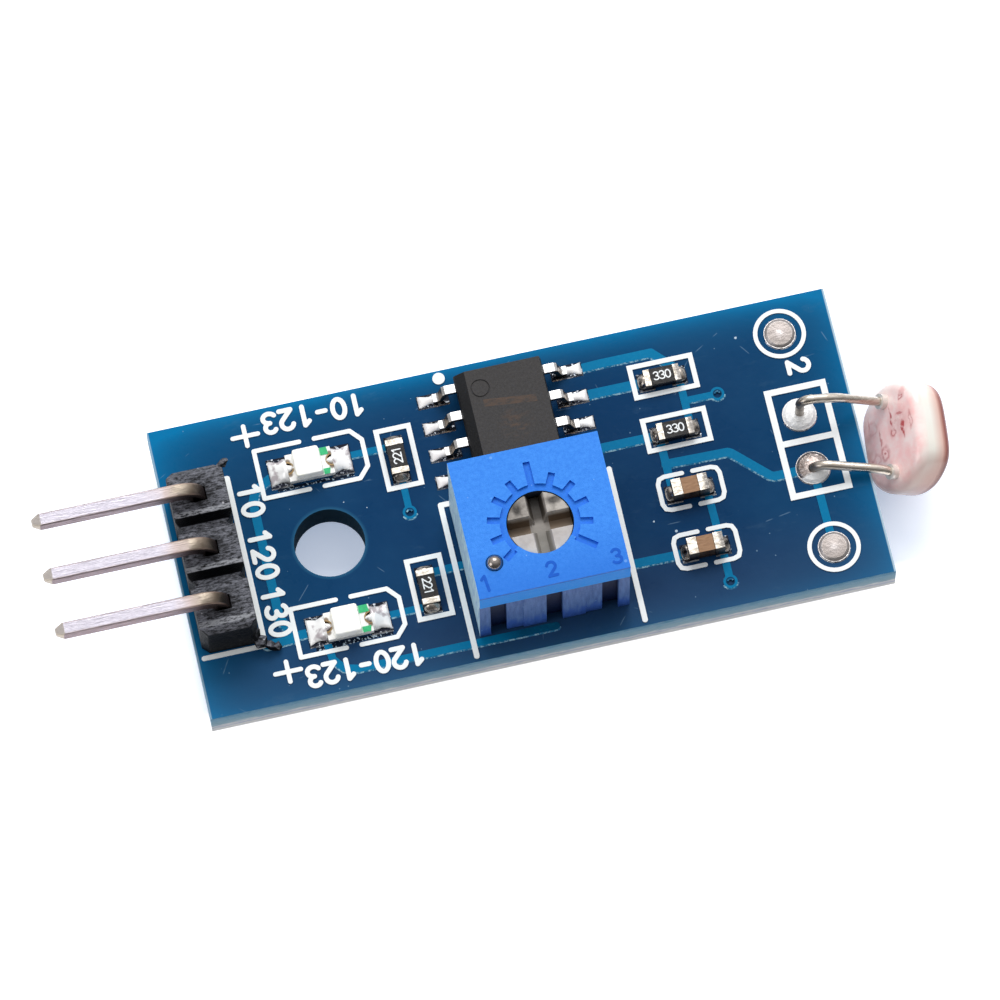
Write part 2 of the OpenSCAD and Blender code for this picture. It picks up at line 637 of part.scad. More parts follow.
module trimmer_wiper() color([0.8, 0.65, 0.35]) translate([trimmer_x, rotor_y, flange_z - wiper_t]) {
    difference() {
        cylinder(d = flange_d - 0.5, h = wiper_t);
        translate([0, 0, -over]) cylinder(d = 1.2, h = wiper_t + 2 * over);
    }
    for (a = [90, 270]) rotate([0, 0, a]) translate([flange_d / 2 - 0.6, 0, -foot_h])
        cylinder(d = 0.5, h = foot_h, $fn = 16);
}

module trimmer_ball() color([0.8, 0.8, 0.8])
    translate([trimmer_x + ball_x, trimmer_y + ball_y, trimmer_top - ball_d * 0.12]) sphere(d = ball_d);

module trimmer_solder() color([0.7, 0.7, 0.7]) for (p = trimmer_holes) translate(p) difference() {
    rotate_extrude() joint_profile(trimmer_hole_d, trimmer_pad_d - 0.1);
    cylinder(d = trimmer_pin_d, h = 4 * board_t + 4 * tail_l, center = true);
}

// Comparator

chip_low = 0.15;
chip_draft = 0.09;                  // how far the body's sides lean in towards its top and bottom
bevel_w = 0.41;                     // the sloping edge over leads 1 to 4
bevel_h = 0.42;
ring_r = 0.42;                      // the round dimple that marks lead 1
ring_w = 0.06;
ring_depth = 0.04;
ring_in = 1.0;
chip_mid = chip_low + (chip_h - chip_low) / 2;
lead_z = chip_mid - lead_t / 2;     // underside of a lead's shoulder

module comparator_body() color([0.13, 0.12, 0.11]) translate([chip_x, chip_y, board_t]) difference() {
    intersection() {
        along_y(chip_l + 1) polygon([[-chip_w / 2 + chip_draft, chip_low], [chip_w / 2 - chip_draft, chip_low],
            [chip_w / 2, lead_z], [chip_w / 2, lead_z + lead_t], [chip_w / 2 - chip_draft, chip_h],
            [-chip_w / 2 + 0.05 + bevel_w, chip_h], [-chip_w / 2 + 0.05, chip_h - bevel_h],
            [-chip_w / 2, lead_z + lead_t], [-chip_w / 2, lead_z]]);
        rotate([0, 0, 90]) along_y(chip_w + 1) polygon([[-chip_l / 2 + chip_draft, chip_low],
            [chip_l / 2 - chip_draft, chip_low], [chip_l / 2, chip_mid], [chip_l / 2 - chip_draft, chip_h],
            [-chip_l / 2 + chip_draft, chip_h], [-chip_l / 2, chip_mid]]);
    }
    translate([-chip_w / 2 + ring_in, chip_l / 2 - ring_in, chip_h - ring_depth]) difference() {
        cylinder(r = ring_r, h = over);
        cylinder(r = ring_r - ring_w, h = over);
    }
}

// A gull-wing lead in X and Z, from the body's side to its foot on the pad.
module lead_profile() {
    x0 = chip_w / 2;
    x1 = lead_span / 2;
    top = lead_z + lead_t;
    polygon([[x0, lead_z], [x0, top], [x1 - 0.55, top], [x1 - 0.42, top - 0.1],
        [x1 - 0.28, pad_t + lead_t + 0.08], [x1 - 0.2, pad_t + lead_t], [x1, pad_t + lead_t],
        [x1, pad_t], [x1 - 0.36, pad_t], [x1 - 0.46, pad_t + 0.1],
        [x1 - 0.62, lead_z - 0.03], [x1 - 0.68, lead_z]]);
}

// Leads 1 to 4 run down the left side, 5 to 8 up the right side.
module comparator_lead(i) color([0.85, 0.85, 0.83])
    translate([chip_x, lead_row[i < 5 ? i - 1 : 8 - i], board_t])
        mirror([i < 5 ? 1 : 0, 0, 0]) along_y(lead_w) lead_profile();

module comparator_lead_1() comparator_lead(1);
module comparator_lead_2() comparator_lead(2);
module comparator_lead_3() comparator_lead(3);
module comparator_lead_4() comparator_lead(4);
module comparator_lead_5() comparator_lead(5);
module comparator_lead_6() comparator_lead(6);
module comparator_lead_7() comparator_lead(7);
module comparator_lead_8() comparator_lead(8);

module comparator_solder() color([0.8, 0.8, 0.8]) for (y = lead_row, side = [0, 1])
    translate([chip_x, y, board_t]) mirror([side, 0, 0]) along_y(chip_pad_w - 0.04)
        polygon([[lead_span / 2, pad_t], [lead_span / 2, pad_t + lead_t + 0.02],
            [lead_span / 2 + 0.22, pad_t + 0.13], [pad_out - 0.05, pad_t + 0.03], [pad_out - 0.02, pad_t]]);

// Chip resistors and capacitors

module part_block(h) box_mid([chip_part_l - 2 * cap_t, chip_part_w - 2 * cap_t, h - 2 * cap_t],
    pad_t + cap_t);

module end_caps(h, l) difference() {
    for (side = [0, 1]) mirror([side, 0, 0]) translate([chip_part_l / 2 - l, -chip_part_w / 2, pad_t])
        cube([l, chip_part_w, h]);
    part_block(h);
}

module resistor(i) color([0.08, 0.07, 0.07]) translate([0, 0, board_t]) at(resistor_places[i - 1]) {
    part_block(resistor_h);
    box_mid([chip_part_l - 2 * resistor_cap_l - 2 * fit, chip_part_w - 2 * cap_t, resistor_h / 2],
        pad_t + resistor_h / 2 + 0.02);
}

module capacitor(i) color([0.62, 0.45, 0.3]) translate([0, 0, board_t]) at(capacitor_places[i - 1])
    part_block(capacitor_h);

module resistor_ends(i) color([0.85, 0.84, 0.8]) translate([0, 0, board_t]) at(resistor_places[i - 1])
    end_caps(resistor_h, resistor_cap_l);

module capacitor_ends(i) color([0.85, 0.84, 0.8]) translate([0, 0, board_t]) at(capacitor_places[i - 1])
    end_caps(capacitor_h, capacitor_cap_l);

module resistor_1() resistor(1);
module resistor_2() resistor(2);
module resistor_3() resistor(3);
module resistor_4() resistor(4);
module resistor_1_ends() resistor_ends(1);
module resistor_2_ends() resistor_ends(2);
module resistor_3_ends() resistor_ends(3);
module resistor_4_ends() resistor_ends(4);
module capacitor_1() capacitor(1);
module capacitor_2() capacitor(2);
module capacitor_1_ends() capacitor_ends(1);
module capacitor_2_ends() capacitor_ends(2);

// Lamps

notch_r = 0.3;
notch_plate = 0.06;                 // thickness of a notch's plating

module lamp_carrier(i) color([0.9, 0.9, 0.8]) translate([0, 0, board_t]) at(lamp_places[i - 1])
    translate([0, 0, pad_t]) linear_extrude(carrier_t) difference() {
        square([lamp_l, lamp_w], center = true);
        for (side = [-1, 1]) translate([side * lamp_l / 2, 0]) circle(r = notch_r);
    }

module lamp_lens(i) color([0.97, 0.97, 0.92]) translate([0, 0, board_t + pad_t + carrier_t])
    at(lamp_places[i - 1]) translate([-0.1, 0, 0]) intersection() {
        box_mid([lens_l, lamp_w, lens_h], 0);
        along_y(lamp_w + 1) polygon([[-lens_l / 2, 0], [lens_l / 2, 0],
            [lens_l / 2 - 0.07, lens_h], [-lens_l / 2 + 0.07, lens_h]]);
    }

// the plated half-round notches at a lamp's ends
module lamp_ends(i) color([0.85, 0.75, 0.45]) translate([0, 0, board_t + pad_t]) at(lamp_places[i - 1])
    linear_extrude(carrier_t + 0.02) intersection() {
        square([lamp_l, lamp_w], center = true);
        for (side = [-1, 1]) translate([side * lamp_l / 2, 0]) difference() {
            circle(r = notch_r);
            circle(r = notch_r - notch_plate);
        }
    }

module lamp_1_carrier() lamp_carrier(1);
module lamp_2_carrier() lamp_carrier(2);
module lamp_1_lens() lamp_lens(1);
module lamp_2_lens() lamp_lens(2);
module lamp_1_ends() lamp_ends(1);
module lamp_2_ends() lamp_ends(2);

// A fillet of solder from a part's end down to its pad's end, in X and Z.
module fillet_profile(x0, x1, h) polygon([[x0, pad_t], [x0, pad_t + h],
    [x0 + (x1 - x0) * 0.35, pad_t + h * 0.7], [x0 + (x1 - x0) * 0.8, pad_t + h * 0.22], [x1, pad_t]]);

module pair_fillets(x0, x1, h, w) for (side = [0, 1]) mirror([side, 0, 0])
    along_y(w) fillet_profile(x0, x1, h);

module chip_solder() color([0.72, 0.7, 0.68]) translate([0, 0, board_t]) {
    for (p = resistor_places) at(p)
        pair_fillets(chip_part_l / 2, part_reach - 0.02, resistor_h * 0.75, chip_part_w - 0.04);
    for (p = capacitor_places) at(p)
        pair_fillets(chip_part_l / 2, part_reach - 0.02, capacitor_h * 0.4, chip_part_w - 0.04);
    for (p = lamp_places) at(p) {
        pair_fillets(lamp_l / 2, lamp_reach - 0.03, carrier_t + 0.06, lamp_w + 0.04);
        // it rises in the notches as well
        for (side = [0, 1]) mirror([side, 0, 0]) translate([lamp_l / 2, 0, pad_t])
            linear_extrude(carrier_t + 0.04) intersection() {
                circle(r = notch_r - notch_plate);
                translate([-1, -1]) square([1.02, 2]);
            }
    }
}

// Light sensor

disc_x = right_x + sensor_out;
disc_y = sensor_mid_y - sensor_shift;
disc_z = board_t - sensor_drop;
disc_turn = [3, sensor_tilt, -3.5];   // roll, tilt and yaw of the hanging disc
layer_t = 0.22;
electrode_t = 0.05;
electrode_in = 0.05;                // margin of the electrodes inside the layer's edge
teeth = floor(sensor_flats / 2 / tooth_step);
body_t = sensor_t - layer_t - electrode_t;

// places its children on the disc's back, with +X along its axis towards the sensing face
module on_disc() translate([disc_x, disc_y, disc_z]) rotate(disc_turn) children();

// a square cross-section with both outer corners rounded, from 0 to t and out to r
module rounded_half(r, t, e) {
    rect(0, r - e, 0, t);
    rect(0, r, e, t - e);
    for (z = [e, t - e]) translate([r - e, z]) circle(r = e);
}

// a disc with two flats, round at its rim, standing on the plane z = 0
module flatted_disc(d, flats, t, e) intersection() {
    rotate_extrude($fn = 64) intersection() {
        rounded_half(d / 2, t, e);
        rect(0, d, 0, t);
    }
    rotate([90, 0, 90]) linear_extrude(d + 1, center = true) for (side = [0, 1])
        mirror([side, 0]) rounded_half(flats / 2, t, e);
}

// lays something built along +Z on the disc's axis, flats up and down
module face_out(x) translate([x, 0, 0]) rotate([0, 90, 0]) rotate([0, 0, 90]) children();

module sensor_disc() color([0.88, 0.78, 0.7]) on_disc() face_out(0)
    flatted_disc(sensor_d, sensor_flats, body_t, sensor_round);

// the flat part of the sensing face, drawn in by gap all round
module face_shape(gap) intersection() {
    circle(d = sensor_d - 2 * sensor_round - 2 * gap, $fn = 64);
    square([sensor_flats - 2 * sensor_round - 2 * gap, sensor_d], center = true);
}

module sensor_layer() color([0.5, 0.2, 0.14]) on_disc() face_out(body_t) rotate([0, 0, 90])
    linear_extrude(layer_t) face_shape(0);

// the comb of electrodes that leaves a winding track of the layer between its teeth
module sensor_electrodes() color([0.8, 0.8, 0.78]) on_disc() face_out(body_t + layer_t) rotate([0, 0, 90])
    linear_extrude(electrode_t) intersection() {
        face_shape(electrode_in);
        for (a = [0, 180]) rotate(a) {
            // the bar follows the rim
            difference() {
                rect(-sensor_d, sensor_d, tooth_reach + 2 * tooth_w, sensor_d);
                face_shape(electrode_in + comb_bar_w);
            }
            for (i = [-teeth:teeth]) translate([(i + 0.25) * tooth_step, 0])
                rect(-tooth_w / 2, tooth_w / 2, -tooth_reach, sensor_d / 2);
        }
    }

// A wire in the X-Z plane: a leg, a bend of turn_1, a run, a wide bend of turn_2 and a last run
// that end at [reach, drop] measured from the top of the leg.
module arc_piece(r, a) rotate([90, 0, 0]) translate([r, 0, 0]) rotate([0, 0, 180 - a])
    rotate_extrude(angle = a, $fn = 48) translate([r, 0]) circle(d = wire_d, $fn = 24);

// a straight run, a hair thinner than the bends that its ends sit in
run_d = wire_d - 2 * fit;
joint_l = 0.04;
module run(from, to) translate([0, 0, from]) cylinder(d = run_d, h = to - from, $fn = 24);

// the turtle's step over an arc that starts along +Z and bends towards +X
function arc_step(r, a, h) = [r * (cos(h) - cos(h + a)), r * (sin(h + a) - sin(h))];

module wire(leg, r1, turn_1, r2, turn_2, reach, drop) {
    h2 = turn_1 + turn_2;
    bends = arc_step(r1, turn_1, 0) + arc_step(r2, turn_2, turn_1);
    rest = [reach, drop] - bends;
    d1 = [sin(turn_1), cos(turn_1)];
    d2 = [sin(h2), cos(h2)];
    det = d1[0] * d2[1] - d1[1] * d2[0];
    run_1 = (rest[0] * d2[1] - rest[1] * d2[0]) / det;
    run_2 = (d1[0] * rest[1] - d1[1] * rest[0]) / det;
    p1 = arc_step(r1, turn_1, 0);
    p2 = p1 + run_1 * d1;
    p3 = p2 + arc_step(r2, turn_2, turn_1);
    run(-leg, joint_l);
    arc_piece(r1, turn_1);
    translate([p1[0], 0, p1[1]]) rotate([0, turn_1, 0]) run(-joint_l, run_1 + joint_l);
    translate([p2[0], 0, p2[1]]) rotate([0, turn_1, 0]) arc_piece(r2, turn_2);
    translate([p3[0], 0, p3[1]]) rotate([0, h2, 0]) run(-joint_l, run_2);
}

// where a lead meets the disc's back: side is 1 for the back lead and -1 for the front one
function turned(v) = let(r = disc_turn, a = [v[0], v[1] * cos(r[0]) - v[2] * sin(r[0]),
        v[1] * sin(r[0]) + v[2] * cos(r[0])],
    b = [a[0] * cos(r[1]) + a[2] * sin(r[1]), a[1], -a[0] * sin(r[1]) + a[2] * cos(r[1])])
    [b[0] * cos(r[2]) - b[1] * sin(r[2]), b[0] * sin(r[2]) + b[1] * cos(r[2]), b[2]];
collar_l = 0.3;
collar_t = 0.13;                    // thickness of the resin that creeps up a lead
wide_bend_r = 2;                    // radius of a lead's wide bend, to the wire's middle
function lead_end(side) = [disc_x, disc_y, disc_z] + turned([-collar_l / 2, side * sensor_lead_gap / 2, 0]);

// Each lead is a leg in its hole, a bend of radius r1 and a wide bend that ends square to the disc.
// rise is how far the leg's top is above the lead's end, and shift moves the leg in its hole.
module sensor_lead(i, rise, r1, turn_1, shift) {
    p = sensor_holes[i - 1] + shift;
    q = lead_end(i == 1 ? 1 : -1);
    leg_top = q[2] - board_t + rise;
    reach = norm([q[0] - p[0], q[1] - p[1]]);
    color([0.78, 0.75, 0.7]) translate([p[0], p[1], board_t + leg_top])
        rotate([0, 0, atan2(q[1] - p[1], q[0] - p[0])])
            wire(board_t + leg_top + tail_l, r1, turn_1, wide_bend_r, 90 + sensor_tilt - turn_1,
                reach, -rise);
}

module sensor_lead_1() sensor_lead(1, rise = 1.14, r1 = 0.45, turn_1 = 102, shift = [0, 0]);
module sensor_lead_2() sensor_lead(2, rise = 0.02, r1 = 0.7, turn_1 = 99, shift = [-0.08, -0.08]);

module sensor_collars() color([0.7, 0.62, 0.55]) difference() {
    on_disc() for (side = [-1, 1]) translate([-collar_l, side * sensor_lead_gap / 2, 0]) rotate([0, 90, 0])
        cylinder(d = wire_d + 2 * collar_t, h = collar_l, $fn = 24);
    sensor_lead_1();
    sensor_lead_2();
}

dome_h = 0.34;                      // height of the solder round a wire lead
spare_dome_h = 0.16;                // height of the solder on a spare hole's pad
spare_cone_h = 0.28;                // and under the board

module sensor_solder() color([0.8, 0.8, 0.78]) difference() {
    for (p = sensor_holes) translate(p) rotate_extrude() {
        joint_profile(wire_hole_d, round_pad_d - 0.06);
        polygon([[0, board_t], [wire_hole_d / 2, board_t], [wire_hole_d / 2, board_t + pad_t],
            [round_pad_d / 2 - 0.02, board_t + pad_t], [round_pad_d / 2 - 0.14, board_t + dome_h / 2],
            [round_pad_d / 4, board_t + dome_h - 0.06], [0, board_t + dome_h]]);
    }
    sensor_lead_1();
    sensor_lead_2();
}

module spare_solder() color([0.72, 0.7, 0.68]) for (p = spare_holes) translate(p) rotate_extrude() {
    rect(0, spare_hole_d / 2, -fit, board_t + pad_t + fit);
    polygon([[0, board_t + pad_t], [round_pad_d / 2 - 0.08, board_t + pad_t],
        [round_pad_d / 2 - 0.2, board_t + spare_dome_h - 0.03], [0, board_t + spare_dome_h]]);
    polygon([[0, 0], [spare_hole_d / 2, 0], [spare_hole_d / 2, -pad_t], [round_pad_d / 2 - 0.04, -pad_t],
        [round_pad_d / 2 - 0.2, -spare_cone_h + 0.08], [0, -spare_cone_h]]);
}

circuit_board();
top_tracks();
top_pads();
bottom_tracks();
bottom_pads();
print_marks();
header_strip();
header_pin_1();
header_pin_2();
header_pin_3();
header_solder();
trimmer_case();
trimmer_base();
trimmer_element();
trimmer_pin_1();
trimmer_pin_2();
trimmer_pin_3();
trimmer_rotor();
trimmer_wiper();
trimmer_ball();
trimmer_solder();
comparator_body();
comparator_lead_1();
comparator_lead_2();
comparator_lead_3();
comparator_lead_4();
comparator_lead_5();
comparator_lead_6();
comparator_lead_7();
comparator_lead_8();
comparator_solder();
resistor_1();
resistor_2();
resistor_3();
resistor_4();
resistor_1_ends();
resistor_2_ends();
resistor_3_ends();
resistor_4_ends();
capacitor_1();
capacitor_2();
capacitor_1_ends();
capacitor_2_ends();
lamp_1_carrier();
lamp_2_carrier();
lamp_1_lens();
lamp_2_lens();
lamp_1_ends();
lamp_2_ends();
chip_solder();
sensor_disc();
sensor_layer();
sensor_electrodes();
sensor_lead_1();
sensor_lead_2();
sensor_collars();
sensor_solder();
spare_solder();
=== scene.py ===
import json
import math
import random

import bmesh
import bpy
from mathutils import Euler, Matrix, Vector, noise

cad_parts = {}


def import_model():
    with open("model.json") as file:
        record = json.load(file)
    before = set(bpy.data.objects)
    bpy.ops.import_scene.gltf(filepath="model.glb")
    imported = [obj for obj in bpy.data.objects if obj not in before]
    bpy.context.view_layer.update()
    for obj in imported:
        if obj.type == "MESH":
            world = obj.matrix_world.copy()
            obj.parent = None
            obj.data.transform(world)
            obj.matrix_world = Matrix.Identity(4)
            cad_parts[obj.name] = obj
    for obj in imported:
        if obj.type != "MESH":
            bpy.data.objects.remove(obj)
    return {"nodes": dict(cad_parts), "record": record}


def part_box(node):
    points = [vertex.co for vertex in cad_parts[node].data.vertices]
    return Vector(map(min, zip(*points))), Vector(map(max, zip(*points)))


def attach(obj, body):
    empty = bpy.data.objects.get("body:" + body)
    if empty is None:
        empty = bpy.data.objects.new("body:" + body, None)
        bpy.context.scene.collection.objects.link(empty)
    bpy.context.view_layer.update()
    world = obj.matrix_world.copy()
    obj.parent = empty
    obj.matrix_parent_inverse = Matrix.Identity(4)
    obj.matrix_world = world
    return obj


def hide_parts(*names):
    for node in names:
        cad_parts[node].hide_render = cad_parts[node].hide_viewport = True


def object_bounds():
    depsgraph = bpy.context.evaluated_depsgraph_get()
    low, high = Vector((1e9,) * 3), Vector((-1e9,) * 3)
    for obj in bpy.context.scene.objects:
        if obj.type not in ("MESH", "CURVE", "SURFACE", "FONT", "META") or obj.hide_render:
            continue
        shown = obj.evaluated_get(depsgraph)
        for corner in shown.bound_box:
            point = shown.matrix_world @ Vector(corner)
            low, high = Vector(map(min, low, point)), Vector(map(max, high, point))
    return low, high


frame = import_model()
cad_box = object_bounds()
nodes = frame["nodes"]
MM = 0.001


def box_mm(name):
    """Lowest and highest corners of a CAD piece in millimetres."""
    low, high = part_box(name)
    return Vector(low) / MM, Vector(high) / MM


# Places taken from the frame, in millimetres
board_low, board_high = box_mm("circuit_board")
case_low, case_high = box_mm("trimmer_case")
rotor_low, rotor_high = box_mm("trimmer_rotor")
rotor_mid = (rotor_low + rotor_high) / 2
chip_low, chip_high = box_mm("comparator_body")
strip_low, strip_high = box_mm("header_strip")
spare_low, spare_high = box_mm("spare_solder")
pin_low = box_mm("header_pin_2")[0]
pin_step = (box_mm("header_pin_1")[0] - pin_low).y
lamp_mids = [(low + high) / 2 for low, high in (box_mm(f"lamp_{i}_carrier") for i in (1, 2))]

# Sizes that the frame's boxes do not give, in millimetres
HOLE_R = 1.55                       # the mounting hole, whose axis is the frame's own
PAD_R = 0.71                        # the spare holes' solder
VIA_SHADE_R = 0.2                   # the dark spot round a via
VIA_PLUG_R = 0.16                   # the mask that closes a via
WINDOW_R = 1.45                     # the opening over the trimmer's rotor
LIP_T = 1.2                         # the trimmer's plain upper part, above its ribs
DIAL_DEPTH = 0.15                   # how deep the ticks of the trimmer's dial are
SLOT_HALF = 0.42                    # half the width of the rotor's cross slot
LAMP_ZONE = 2.5                     # how far from the hole's axis the lamps' solder reaches
vias = ((3.69, 0.6), (17.95, 2.97), (16.51, -5.61))     # the middles of the three vias

# The sensor's disc: roll, tilt and yaw as the part's source turns it, and its real sizes
disc_turn = Euler([math.radians(a) for a in (3, 33, -3.5)]).to_matrix()
disc_low, disc_high = box_mm("sensor_disc")
disc_mid = (disc_low + disc_high) / 2
DISC_R = 2.49
DISC_FLAT = 2.12                    # from the disc's middle to each of its two flats
DISC_T = 1.68
BACK_ROUND = 0.5
FACE_ROUND = 0.3
disc_axis = disc_turn @ Vector((1, 0, 0))
disc_back = disc_mid - disc_axis * DISC_T / 2


# Building blocks for shader trees

WHITE = (255, 255, 255)


def srgb(r, g, b):
    """A colour as seen on a screen, 0 to 255, in the linear form that shaders use."""
    def linear(c):
        c = c / 255
        return c / 12.92 if c <= 0.04045 else ((c + 0.055) / 1.055) ** 2.4
    return (linear(r), linear(g), linear(b), 1)


class Tree:
    """A node tree and short ways to add to it."""

    def __init__(self, tree):
        self.tree = tree

    def put(self, socket, value):
        """Links or sets a socket; three numbers are a colour as seen on a screen, 0 to 255."""
        if isinstance(value, bpy.types.NodeSocket):
            self.tree.links.new(value, socket)
        elif socket.type == "RGBA" and len(value) == 3:
            socket.default_value = srgb(*value)
        else:
            socket.default_value = value

    def add(self, kind, inputs=None, **settings):
        """A node of a kind, with its inputs by name or number, and its settings."""
        node = self.tree.nodes.new(kind)
        for key, value in settings.items():
            setattr(node, key, value)
        for key, value in (inputs or {}).items():
            self.put(node.inputs[key], value)
        return node

    def math(self, operation, *values, clamp=False):
        node = self.add("ShaderNodeMath", operation=operation, use_clamp=clamp)
        for i, value in enumerate(values):
            self.put(node.inputs[i], value)
        return node.outputs[0]

    def plus(self, a, b):
        return self.math("ADD", a, b)

    def minus(self, a, b):
        return self.math("SUBTRACT", a, b)

    def over(self, a, b):
        return self.math("DIVIDE", a, b)

    def most(self, a, b):
        return self.math("MAXIMUM", a, b)

    def size(self, value):
        """A value without its sign."""
        return self.math("ABSOLUTE", value)

    def below(self, value, limit):
        """1 where a value is under a limit, and 0 elsewhere."""
        return self.math("LESS_THAN", value, limit)

    def above(self, value, limit):
        return self.math("GREATER_THAN", value, limit)

    def product(self, *values):
        total = values[0]
        for value in values[1:]:
            total = self.math("MULTIPLY", total, value)
        return total

    def away(self, value, middle):
        """Distance of a value from a middle."""
        return self.size(self.minus(value, middle))

    def length(self, x, y):
        return self.math("SQRT", self.plus(self.product(x, x), self.product(y, y)))

    def from_point(self, x, y, mid_x, mid_y, wide=1.0, high=1.0):
        """Distance from a point, as a share of a half width and a half height where they are given."""
        return self.length(self.over(self.minus(x, mid_x), wide), self.over(self.minus(y, mid_y), high))

    def mix(self, factor, a, b):
        node = self.add("ShaderNodeMix", data_type="RGBA", blend_type="MIX")
        self.put(node.inputs[0], factor)
        self.put(node.inputs[6], a)
        self.put(node.inputs[7], b)
        return node.outputs[2]

    def paint(self, colour, *coats):
        """Lays coats of (share, colour) over a colour, one after another."""
        for share, coat in coats:
            colour = self.mix(share, colour, coat)
        return colour

    def ramp(self, value, *stops):
        """A colour ramp of (place, colour or grey level) stops."""
        node = self.add("ShaderNodeValToRGB", {"Fac": value})
        ends = node.color_ramp.elements
        while len(ends) < len(stops):
            ends.new(0.5)
        for end, (place, colour) in zip(ends, stops):
            end.position = place
            end.color = srgb(*colour) if isinstance(colour, tuple) else (colour, colour, colour, 1)
        return node.outputs["Color"]

    def range(self, value, low, high, out_low=0.0, out_high=1.0):
        """Carries low to out_low and high to out_high and stays there beyond; low may be the larger."""
        node = self.add("ShaderNodeMapRange", {0: value, 1: low, 2: high, 3: out_low, 4: out_high})
        return node.outputs[0]

    def group(self, group, **inputs):
        node = self.add("ShaderNodeGroup", node_tree=group)
        for key, value in inputs.items():
            self.put(node.inputs[key], value)
        return node.outputs

    def millimetres(self):
        """Places on the part in millimetres."""
        place = self.add("ShaderNodeTexCoord").outputs["Object"]
        node = self.add("ShaderNodeVectorMath", {0: place}, operation="SCALE")
        node.inputs["Scale"].default_value = 1 / MM
        return node.outputs[0]

    def axes(self, vector):
        return self.add("ShaderNodeSeparateXYZ", {0: vector}).outputs

    def facing(self, kind="Normal"):
        """X, Y and Z of the way that the surface faces."""
        return self.axes(self.add("ShaderNodeNewGeometry").outputs[kind])

    def vectors(self, operation, a, b):
        return self.add("ShaderNodeVectorMath", {0: a, 1: b}, operation=operation).outputs

    def stretch(self, vector, scale):
        return self.vectors("MULTIPLY", vector, scale)[0]

    def noise(self, vector, scale, detail=2.0, roughness=0.5):
        node = self.add("ShaderNodeTexNoise", {
            "Vector": vector, "Scale": scale, "Detail": detail, "Roughness": roughness})
        return node.outputs["Fac"]


def new_group(name, inputs, outputs):
    """A node group with inputs and their usual values, the names of its outputs, which are all
    numbers, and a Tree to fill it with."""
    group = bpy.data.node_groups.new(name, "ShaderNodeTree")
    for socket, value in inputs.items():
        kind = "NodeSocketFloat" if isinstance(value, float) else "NodeSocketVector"
        group.interface.new_socket(socket, in_out="INPUT", socket_type=kind).default_value = value
    for socket in outputs:
        group.interface.new_socket(socket, in_out="OUTPUT", socket_type="NodeSocketFloat")
    tree = Tree(group)
    return group, tree, tree.add("NodeGroupInput").outputs, tree.add("NodeGroupOutput").inputs


# Effects that several materials share

def make_dust():
    """Scattered specks: cells of which a few hold a small round dot."""
    group, t, given, out = new_group(
        "dust specks", {"Place": (0, 0, 0), "Cell": 1.0, "Size": 0.05, "Share": 0.3}, ["Mask"])
    cells = t.add("ShaderNodeTexVoronoi", {"Vector": given["Place"], "Scale": given["Cell"]})
    pick = t.axes(cells.outputs["Color"])
    near = t.below(cells.outputs["Distance"], t.product(given["Size"], pick[1]))
    t.put(out["Mask"], t.product(near, t.below(pick[0], given["Share"])))
    return group


def make_grain():
    """The fine uneven skin of moulded plastic, as a height and a mask of its paler spots."""
    group, t, given, out = new_group(
        "moulded grain", {"Place": (0, 0, 0), "Scale": 8.0, "Spots": 0.6}, ["Height", "Mask"])
    coarse = t.noise(given["Place"], given["Scale"], 3.0, 0.6)
    fine = t.noise(given["Place"], t.product(given["Scale"], 4.0))
    t.put(out["Height"], t.plus(t.product(coarse, 0.6), t.product(fine, 0.4)))
    t.put(out["Mask"], t.math("MULTIPLY", t.range(fine, given["Spots"], 0.85), coarse, clamp=True))
    return group


def make_smear():
    """Uneven drawn or wiped metal: streaks along one axis and blotches over them."""
    group, t, given, out = new_group(
        "smear", {"Place": (0, 0, 0), "Along": (1, 8, 8), "Scale": 2.0}, ["Streak", "Blotch"])
    lines = t.noise(t.stretch(given["Place"], given["Along"]), given["Scale"], 3.0, 0.6)
    blotch = t.noise(given["Place"], t.product(given["Scale"], 0.7))
    t.put(out["Streak"], t.range(lines, 0.3, 0.7))
    t.put(out["Blotch"], t.range(blotch, 0.35, 0.65))
    return group


def make_edge_light():
    """How much the board brightens towards its four edges, most at the back, as a painted sheen of light.
    """
    group, t, given, out = new_group("edge light", {"Place": (0, 0, 0)}, ["Share"])
    x, y = t.axes(given["Place"])[:2]
    back = t.minus(board_high.y, y)
    front = t.minus(y, board_low.y)
    right = t.minus(board_high.x, x)
    left = t.minus(x, board_low.x)
    total = 0.0
    for distance, reach, strength in (
            (back, 0.6, 0.95), (front, 0.7, 0.33), (right, 0.9, 0.5), (right, 5.0, 0.15),
            (left, 1.0, 0.5), (left, 5.0, 0.25)):
        fade = t.math("EXPONENT", t.product(t.over(distance, reach), -1.0))
        total = t.plus(total, t.product(fade, strength))
    t.put(out["Share"], t.math("MINIMUM", total, 1.0))
    return group


dust = make_dust()
grain = make_grain()
smear = make_smear()
edge_light = make_edge_light()


